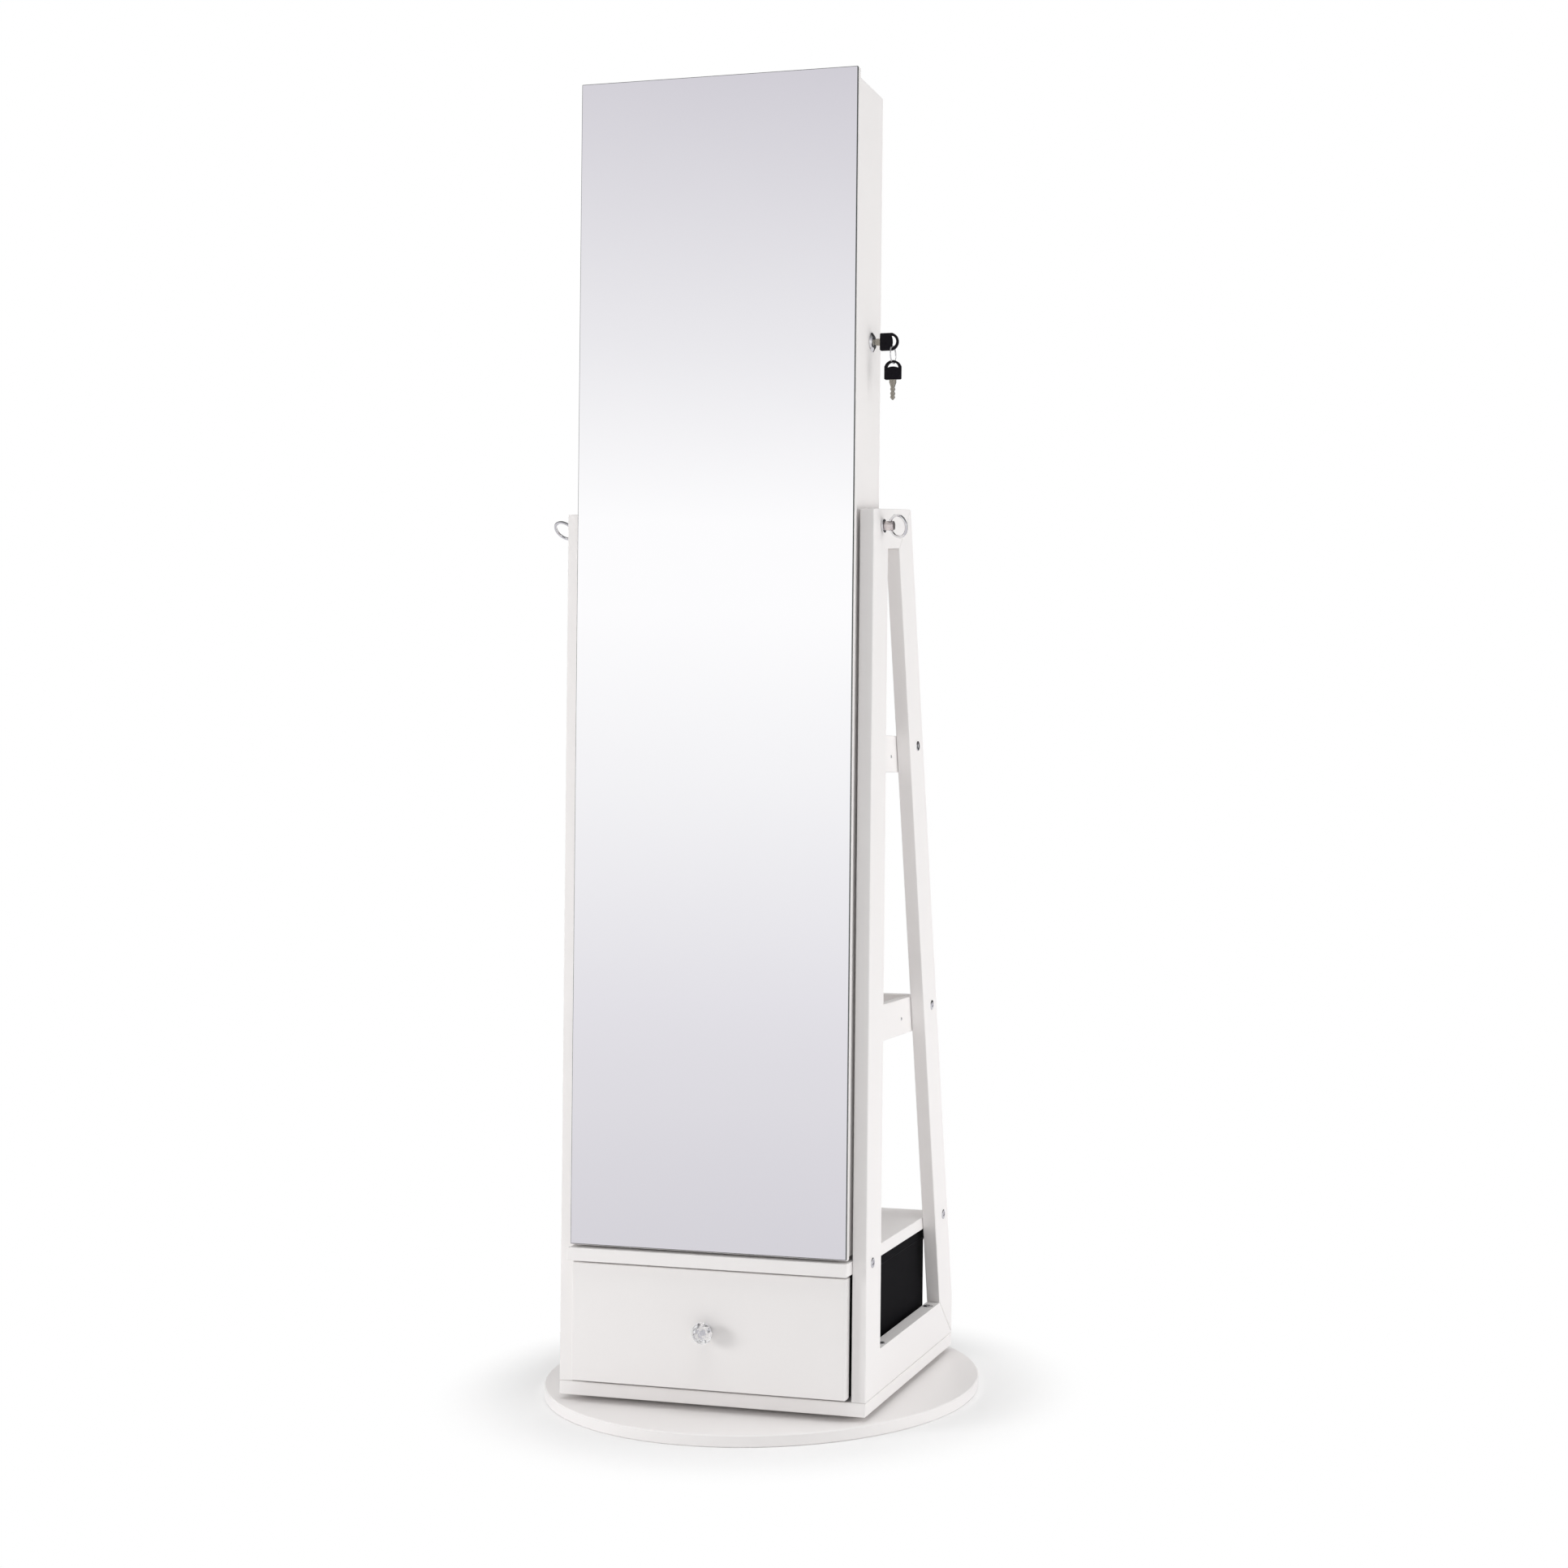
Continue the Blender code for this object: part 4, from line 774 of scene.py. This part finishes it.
# %% A wire that goes round almost twice
STRAND = 0.00042
STRAND_SHIFT = 0.00045
STEP_ANGLE = math.radians(50)
RING_STEPS = 88
STRAND_SIDES = 8
low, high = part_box("key_ring")
ring_middle = (low + high) / 2
ring_radius = (high.z - low.z) / 2 - (high.x - low.x) / 2
strand_turns = [math.tau * corner / STRAND_SIDES for corner in range(STRAND_SIDES)]
loops = []
for step in range(RING_STEPS + 1):
    turn = (2 * math.tau - STEP_ANGLE) * step / RING_STEPS
    ramp = min(max((turn - math.tau + STEP_ANGLE) / STEP_ANGLE, 0.0), 1.0)
    aside = STRAND_SHIFT * (2 * ramp * ramp * (3 - 2 * ramp) - 1)
    out = Vector((0, math.cos(turn), math.sin(turn)))
    spot = ring_middle + out * ring_radius + Vector((aside, 0, 0))
    loops.append([spot + out * STRAND * math.cos(corner) + Vector((STRAND * math.sin(corner), 0, 0))
                  for corner in strand_turns])
sketch = bmesh.new()
skin(sketch, loops)
add_piece("split_key_ring", sketch, [chrome], "spare_keys", ["key_ring"], sharp=60.0)
print("split ring:", round(ring_radius * 2000, 1), "mm across the wire's middle")

# %% [markdown]
# ## The drawer knob
#
# The knob is clear acrylic, cut like a stone: a flat table in front, a ring of sloping facets, a
# straight girdle and facets that taper to the neck. A lathe would make it round, and facets are what
# makes it sparkle. All the corners of such a stone lie on its outside, so we place the corners on a few
# rings, each turned half a step against the next, and let Blender wrap a convex hull around them. The
# chrome stem goes up a hole in the back, and the facets repeat it as a star.

# %% Clear acrylic
acrylic, tree, shader = start_finish("clear_acrylic")
swirl = specks(tree, size=0.006)
blend_colour(tree, swirl, (0.965, 0.970, 0.975), (0.995, 0.995, 1.0), shader.inputs["Base Color"])
vary(tree, swirl, low=0.03, high=0.07, socket=shader.inputs["Roughness"])
shader.inputs["Transmission Weight"].default_value = 1.0
shader.inputs["IOR"].default_value = 1.49
print("acrylic: bends light by", shader.inputs["IOR"].default_value)

# %% [markdown]
# Each row of the list is one ring of corners: its radius, how far forward it lies, its twist as a share
# of one step, and how many corners it has for each facet.

# %% A cut knob
KNOB_FACETS = 8
KNOB_RINGS = (
    (0.0066, 0.0172, 0.0, 1),
    (0.0103, 0.0150, 0.5, 1),
    (0.0130, 0.0112, 0.0, 2),
    (0.0130, 0.0084, 0.0, 2),
    (0.0096, 0.0034, 0.5, 1),
    (0.0064, 0.0, 0.0, 1),
)
STEM_HOLE = 0.0033
STEM_HOLE_DEPTH = 0.0073
low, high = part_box("drawer_knob")
back = Vector(((low.x + high.x) / 2, high.y, (low.z + high.z) / 2))
sketch = bmesh.new()
for radius, forward, twist, more in KNOB_RINGS:
    for corner in range(KNOB_FACETS * more):
        turn = math.tau * (corner + twist) / (KNOB_FACETS * more)
        sketch.verts.new(back + Vector((radius * math.cos(turn), -forward, radius * math.sin(turn))))
made = bmesh.ops.convex_hull(sketch, input=sketch.verts[:])
inside = [one for one in made["geom_interior"] if isinstance(one, bmesh.types.BMVert)]
bmesh.ops.delete(sketch, geom=inside, context="VERTS")
bmesh.ops.dissolve_limit(sketch, angle_limit=FLAT, verts=sketch.verts[:], edges=sketch.edges[:])
rear = max(sketch.faces, key=lambda face: face.calc_center_median().y)
rear_half = KNOB_RINGS[-1][0] * math.cos(math.pi / KNOB_FACETS)
bmesh.ops.inset_individual(sketch, faces=[rear], thickness=rear_half - STEM_HOLE)
bmesh.ops.translate(sketch, verts=rear.verts[:], vec=(0, -STEM_HOLE_DEPTH, 0))
print("knob:", len(sketch.faces), "facets")
add_piece("cut_knob", sketch, [acrylic], "drawer", ["drawer_knob"], sharp=1.0)

# %% [markdown]
# ## The drawer's cloth
#
# Behind the white drawer front is a soft box of black woven cloth over card. Modelled threads would be
# far too many, and plain noise has no direction. Two sine waves that cross at right angles make a weave
# that goes round the corners by itself, because one wave runs along the walls and the other runs up.

# %% Black woven cloth
WEAVE_WAYS = ((1.0, 1.0, 0.0), (0.0, 0.0, 1.0))
CLOTH_SPECULAR = 0.12


def weave(name, dark, light, thread, height):
    """Cloth whose threads are that wide, in metres, and cross at right angles."""
    finish, tree, shader = start_finish(name)
    place = tree.nodes.new("ShaderNodeTexCoord").outputs["Object"]
    waves = []
    for way in WEAVE_WAYS:
        turns = calculate(tree, "MULTIPLY", reach_along(tree, place, way), math.pi / thread)
        waves.append(calculate(tree, "SINE", turns))
    cross = calculate(tree, "MULTIPLY_ADD", *waves, 0.5)
    blend_colour(tree, specks(tree, size=0.02, detail=3.0), dark, light, shader.inputs["Base Color"])
    vary(tree, cross, low=0.80, high=0.95, socket=shader.inputs["Roughness"])
    raise_bumps(tree, cross, height, shader)
    shader.inputs["Specular IOR Level"].default_value = CLOTH_SPECULAR
    return finish


box_cloth = weave("black_box_cloth", dark=(0.0045, 0.0045, 0.0055), light=(0.0085, 0.0080, 0.0095),
                  thread=0.0009, height=0.00012)
print("cloth:", box_cloth.name)

# %% [markdown]
# ## The drawer's box
#
# The box isn't five plates: its hem is folded over the rim and sewn all round, and between the corners
# the cloth draws in a little. So it is lofted from loops. One helper gives a loop round the box at any
# height, with rounded corners, and slow noise adds shallow waves to the walls. The photograph's box has
# sharp corners and reaches a little further than its solid, so the cloth stands slightly proud of it.

# %% One loop round the box
BOX_CORNER = 0.003
TIGHTEST_CORNER = 0.001
SIDE_POINTS = 14
CORNER_POINTS = 5
SAG_CURVE = 0.6
WAVE_SHARE = 0.35
WAVES_PER_METRE = 14.0
CLOTH_PROUD = Vector((0.0025, 0.0, 0.0))
CLOTH_PROUD_BACK = Vector((0.0025, 0.004, 0.0))
box_low, box_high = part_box("drawer_box")
box_low -= CLOTH_PROUD
box_high += CLOTH_PROUD_BACK


def box_loop(inset, up, pull=0.0):
    """A loop round the box. Pull draws the middle of each wall in towards the inside."""
    low = Vector((box_low.x + inset, box_low.y + inset))
    high = Vector((box_high.x - inset, box_high.y - inset))
    round_off = max(BOX_CORNER - inset, TIGHTEST_CORNER)
    centres = ((high.x - round_off, high.y - round_off), (low.x + round_off, high.y - round_off),
               (low.x + round_off, low.y + round_off), (high.x - round_off, low.y + round_off))
    loop = []
    for corner, (across, along) in enumerate(centres):
        start = corner * math.pi / 2
        for step in range(CORNER_POINTS + 1):
            turn = start + math.pi / 2 * step / CORNER_POINTS
            spot = (across + round_off * math.cos(turn), along + round_off * math.sin(turn), up)
            loop.append(Vector(spot))
        ahead = centres[(corner + 1) % 4]
        facing = Vector((math.cos(start + math.pi / 2), math.sin(start + math.pi / 2), 0))
        begin = loop[-1]
        end = Vector((*ahead, up)) + facing * round_off
        for step in range(1, SIDE_POINTS):
            share = step / SIDE_POINTS
            dent = pull * math.sin(math.pi * share) ** SAG_CURVE
            wave = WAVE_SHARE * pull * noise.noise(begin.lerp(end, share) * WAVES_PER_METRE)
            loop.append(begin.lerp(end, share) - facing * (dent + wave))
    return loop


print("box:", [round(side * 1000, 1) for side in box_high - box_low], "mm")

# %% [markdown]
# ### Up the outside and down the inside
#
# Now the loops are stacked: the rounded foot, the outer wall, the fold of the hem, the rim, the inner
# wall and the floor. Each short list holds how far in a loop lies and how high it is, measured from the
# bottom, the hem or the top. `skin` joins them into one closed shell, which no pile of plates would be.

# %% The box, lofted from its loops
BOX_WALL = 0.0025
BOX_FLOOR = 0.003
HEM_TALL = 0.015
HEM_STEP = 0.0007
DRAW_IN = 0.0016
DRAW_CURVE = 0.7
WALL_STEPS = 9
FOOT = ((0.0030, 0.0), (0.0012, 0.0009), (HEM_STEP, 0.003))
HEM_FOLD = ((HEM_STEP, -0.0004), (HEM_STEP * 0.3, 0.0), (0.0, 0.0006))
RIM = ((0.0, -0.0009), (0.0004, -0.0002), (0.0011, 0.0), (0.0018, -0.0002), (BOX_WALL, -0.0010))
INNER_FOOT = ((BOX_WALL, 0.002), (BOX_WALL + 0.0018, 0.0))


def wall(inset, start, end):
    """Loops from one height to another. The cloth draws in most half way."""
    shares = [step / WALL_STEPS for step in range(1, WALL_STEPS)]
    return [box_loop(inset, start + (end - start) * share, DRAW_IN * math.sin(math.pi * share) ** DRAW_CURVE)
            for share in shares]


bottom = box_low.z
top = box_high.z
hem = top - HEM_TALL
inner_floor = bottom + BOX_FLOOR
loops = [box_loop(inset, bottom + up) for inset, up in FOOT]
loops += wall(HEM_STEP, bottom + FOOT[-1][1], hem)
loops += [box_loop(inset, hem + up) for inset, up in HEM_FOLD]
loops += [box_loop(inset, top + up) for inset, up in RIM]
loops += [box_loop(BOX_WALL, hem)]
loops += wall(BOX_WALL, hem, inner_floor + INNER_FOOT[0][1])
loops += [box_loop(inset, inner_floor + up) for inset, up in INNER_FOOT]
sketch = bmesh.new()
skin(sketch, loops)
add_piece("fabric_drawer_box", sketch, [box_cloth], "drawer", ["drawer_box"])
print("fabric box:", len(loops), "loops of", len(loops[0]), "points")

# %% [markdown]
# ### Stitches along the hem
#
# One row of stitches holds the hem. Bump could fake them, but a row of small spindles, laid along the
# hem's own loop, also shows from close by. Each is a six-sided skin that is thin at both ends.

# %% One row of stitches
STITCH = 0.0042
STITCH_GAP = 0.0016
STITCH_RADIUS = 0.00032
STITCH_SIDES = 6
STITCH_OUT = 0.4
STITCH_DROP = 0.0115
SPINDLE = ((0.4, 0.0), (1.0, 0.2), (1.0, 0.8), (0.4, 1.0))
thread = moulded("black_sewing_thread", dark=(0.009, 0.009, 0.010), light=(0.017, 0.0165, 0.018),
                 grain=0.0005, shine=0.2)


def walk(loop, step):
    """Points at equal steps along a closed loop, each with the way ahead."""
    left = 0.0
    for begin, end in zip(loop, loop[1:] + loop[:1]):
        ahead = end - begin
        while left < ahead.length:
            yield begin + ahead.normalized() * left, ahead.normalized()
            left += step
        left -= ahead.length


spindle = [(circle(STITCH_RADIUS * wide), STITCH * along) for wide, along in SPINDLE]
seam = box_loop(-STITCH_RADIUS * STITCH_OUT, top - STITCH_DROP)
sketch = bmesh.new()
count = 0
for spot, ahead in walk(seam, STITCH + STITCH_GAP):
    turned(sketch, spindle, spot, ahead, STITCH_SIDES)
    count += 1
add_piece("hem_stitches", sketch, [thread], "drawer", sharp=80.0)
print("hem:", count, "stitches")

# %% [markdown]
# ## Velvet inside the cabinet
#
# Behind the mirror everything is black velvet: the lining, two shelves, an earring panel and the pad on
# the door. Velvet is dark where you look straight at it and pale where you look along it, because light
# catches the tips of the pile. Hair would show that but costs too much here, and sheen does the same.
# The pile lies in brushed patches, so the colour follows slow noise and the bumps follow fine noise.

# %% The velvet finish
VELVET_SHEEN = 0.55
VELVET_SHEEN_ROUGH = 0.35
VELVET_TINT = (0.80, 0.78, 0.85, 1.0)
VELVET_SPECULAR = 0.15
PILE = 0.0007
PILE_HEIGHT = 0.00025
velvet, tree, shader = start_finish("black_velvet_pile")
brushed = specks(tree, size=0.045, detail=4.0, stretch=(1.0, 1.0, 0.6))
blend_colour(tree, brushed, (0.009, 0.0085, 0.0105), (0.028, 0.0265, 0.031), shader.inputs["Base Color"])
pile = specks(tree, PILE, detail=3.0)
vary(tree, pile, low=0.85, high=1.0, socket=shader.inputs["Roughness"])
raise_bumps(tree, pile, PILE_HEIGHT, shader)
shader.inputs["Sheen Weight"].default_value = VELVET_SHEEN
shader.inputs["Sheen Roughness"].default_value = VELVET_SHEEN_ROUGH
shader.inputs["Sheen Tint"].default_value = VELVET_TINT
shader.inputs["Specular IOR Level"].default_value = VELVET_SPECULAR
print("velvet:", velvet.name)

# %% [markdown]
# ### Boards wrapped in velvet
#
# The lining, the shelves and the door's pad are thin boards that the velvet is pulled round, so their
# edges are soft. The solids have sharp edges. A slab of the same size with a rounded bevel keeps the
# size and loses the sharpness. The last number in each row is the radius of the edge.

# %% Velvet-wrapped boards with rounded edges
WRAPPED = (
    ("cabinet_lining", "velvet_lining", "cabinet", 0.0011),
    ("lower_shelf", "velvet_lower_shelf", "cabinet", 0.0024),
    ("upper_shelf", "velvet_upper_shelf", "cabinet", 0.0024),
    ("door_lining", "velvet_door_pad", "door", 0.0009),
)
for node, name, body, edge in WRAPPED:
    low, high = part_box(node)
    sketch = slab(low, high)
    bmesh.ops.bevel(sketch, geom=sketch.edges[:], offset=edge, segments=4, affect="EDGES", profile=0.5)
    add_piece(name, sketch, [velvet], body, [node])
    print("velvet board:", name)

# %% [markdown]
# ## The earring panel
#
# Earrings hang by their posts in pairs of small holes. Cutting so many holes with Booleans is slow, and
# a flat curve with holes does the same at once: one outline, one small circle for each hole, a little
# depth and a little bevel. It is then turned into a mesh and stood upright.

# %% A flat curve with pairs of holes
HOLE = 0.0011
HOLE_SIDES = 10
PAIR = 0.008
HOLE_ROWS = 7
HOLE_PAIRS = 9
HOLE_MARGIN = 0.020
PANEL_BEVEL = 0.0005
low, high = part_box("earring_panel")


def add_outline(flat, points):
    outline = flat.splines.new("POLY")
    outline.points.add(len(points) - 1)
    for spot, point in zip(outline.points, points):
        spot.co = (point[0], point[1], 0.0, 1.0)
    outline.use_cyclic_u = True


def add_hole(flat, across, up):
    turns = [math.tau * step / HOLE_SIDES for step in range(HOLE_SIDES)]
    add_outline(flat, [(across + HOLE * math.cos(turn), up + HOLE * math.sin(turn)) for turn in turns])


flat = bpy.data.curves.new("earring_outline", "CURVE")
flat.dimensions = "2D"
flat.fill_mode = "BOTH"
flat.extrude = (high.y - low.y) / 2 - PANEL_BEVEL
flat.bevel_depth = PANEL_BEVEL
flat.offset = -PANEL_BEVEL
add_outline(flat, ((low.x, low.z), (high.x, low.z), (high.x, high.z), (low.x, high.z)))
for row in range(HOLE_ROWS):
    up = low.z + HOLE_MARGIN + (high.z - low.z - 2 * HOLE_MARGIN) * row / (HOLE_ROWS - 1)
    for pair in range(HOLE_PAIRS):
        across = low.x + HOLE_MARGIN + (high.x - low.x - 2 * HOLE_MARGIN) * pair / (HOLE_PAIRS - 1)
        add_hole(flat, across - PAIR / 2, up)
        add_hole(flat, across + PAIR / 2, up)
print("earring panel:", HOLE_ROWS * HOLE_PAIRS, "pairs of holes")

# %% [markdown]
# ### Stand the panel up
#
# The curve lies flat, because a filled curve always does. Blender works out its faces when the object is
# evaluated, and we copy those into a sketch, weld the seams and turn it upright. The curve itself has
# done its job and is removed.

# %% From the curve to a mesh
holder = bpy.data.objects.new("earring_outline", flat)
bpy.context.scene.collection.objects.link(holder)
bpy.context.view_layer.update()
cut_panel = bpy.data.meshes.new_from_object(holder.evaluated_get(bpy.context.evaluated_depsgraph_get()))
bpy.data.objects.remove(holder)
sketch = bmesh.new()
sketch.from_mesh(cut_panel)
bmesh.ops.remove_doubles(sketch, verts=sketch.verts[:], dist=WELD)
stand = Matrix.Translation((0, (low.y + high.y) / 2, 0)) @ Matrix.Rotation(math.radians(90), 4, "X")
bmesh.ops.transform(sketch, matrix=stand, verts=sketch.verts[:])
print("earring panel:", len(sketch.faces), "faces")
add_piece("velvet_earring_panel", sketch, [velvet], "cabinet", ["earring_panel"])

# %% [markdown]
# ## The ring cushion
#
# Rings stand in the grooves between soft velvet rolls. The rolls are foam under stretched velvet, so
# they are fat in the middle, pulled in at both ends and pressed tight against each other. Cloth
# simulation could swell them, but they are small, and a loft has full control: one outline, five
# half-round rolls on a flat back, runs along the cushion while its depth swells and sinks.

# %% The cushion's outline
ROLLS = 5
ROLL_POINTS = 12
ROLL_CURVE = 0.75
GROOVE = 0.30
END_ROUND = 0.012
END_SINK = 0.6
END_LEAN = 0.05
SWELL = 0.05
SWELLS_PER_METRE = 22
ROLL_STRIDE = 3.1
SWELL_ROW = 0.7
low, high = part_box("ring_cushion")
roll = (high.z - low.z) / ROLLS / 2
depth = high.y - low.y


def cushion_loop(across):
    """The cushion's outline at one place along it."""
    from_end = min(across - low.x, high.x - across)
    share = min(from_end / END_ROUND, 1.0)
    full = math.sqrt(max(1.0 - (1.0 - share) ** 2, 0.0))
    sink = roll * END_SINK * (1 - full)
    lean = 1.0 - END_LEAN * (1 - full)
    loop = [Vector((across, high.y, low.z + sink))]
    for count in range(ROLLS):
        middle = low.z + roll * (2 * count + 1)
        wave = noise.noise(Vector((across * SWELLS_PER_METRE, count * ROLL_STRIDE, SWELL_ROW)))
        swell = 1.0 - SWELL * (1 + wave)
        for step in range(ROLL_POINTS + 1):
            turn = math.pi * step / ROLL_POINTS
            bulge = GROOVE + (1 - GROOVE) * math.sin(turn) ** ROLL_CURVE * swell
            front = high.y - depth * full * bulge
            loop.append(Vector((across, front, middle - roll * math.cos(turn) * lean)))
    loop.append(Vector((across, high.y, high.z - sink)))
    return loop


outline = cushion_loop((low.x + high.x) / 2)
print("cushion outline:", len(outline), "points,", round(roll * 2000, 1), "mm for each roll")

# %% [markdown]
# ### Along the cushion
#
# The outline changes most where the ends are rounded, so the stations lie close together there and are
# evenly spaced between.

# %% Five rolls lofted along the cushion
STATIONS = 40
END_STEPS = (0.0004, 0.0015, 0.0035, 0.0065)
run = high.x - low.x - 2 * END_ROUND
first = [low.x + step for step in END_STEPS]
between = [low.x + END_ROUND + run * step / STATIONS for step in range(STATIONS + 1)]
last = [low.x + high.x - across for across in reversed(first)]
places = first + between + last
sketch = bmesh.new()
skin(sketch, [cushion_loop(across) for across in places])
cushion = add_piece("velvet_ring_rolls", sketch, [velvet], "cabinet", ["ring_cushion"],
                    sharp=75.0)
print("ring cushion:", ROLLS, "rolls,", len(places), "stations")

# %% [markdown]
# ## The size, before and after
#
# Dressing a model should never change its size.

# %% Both boxes, and the end
low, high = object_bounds()
before = [round(side, 4) for side in cad_high - cad_low]
after = [round(side, 4) for side in high - low]
print("size:", after, "against", before)
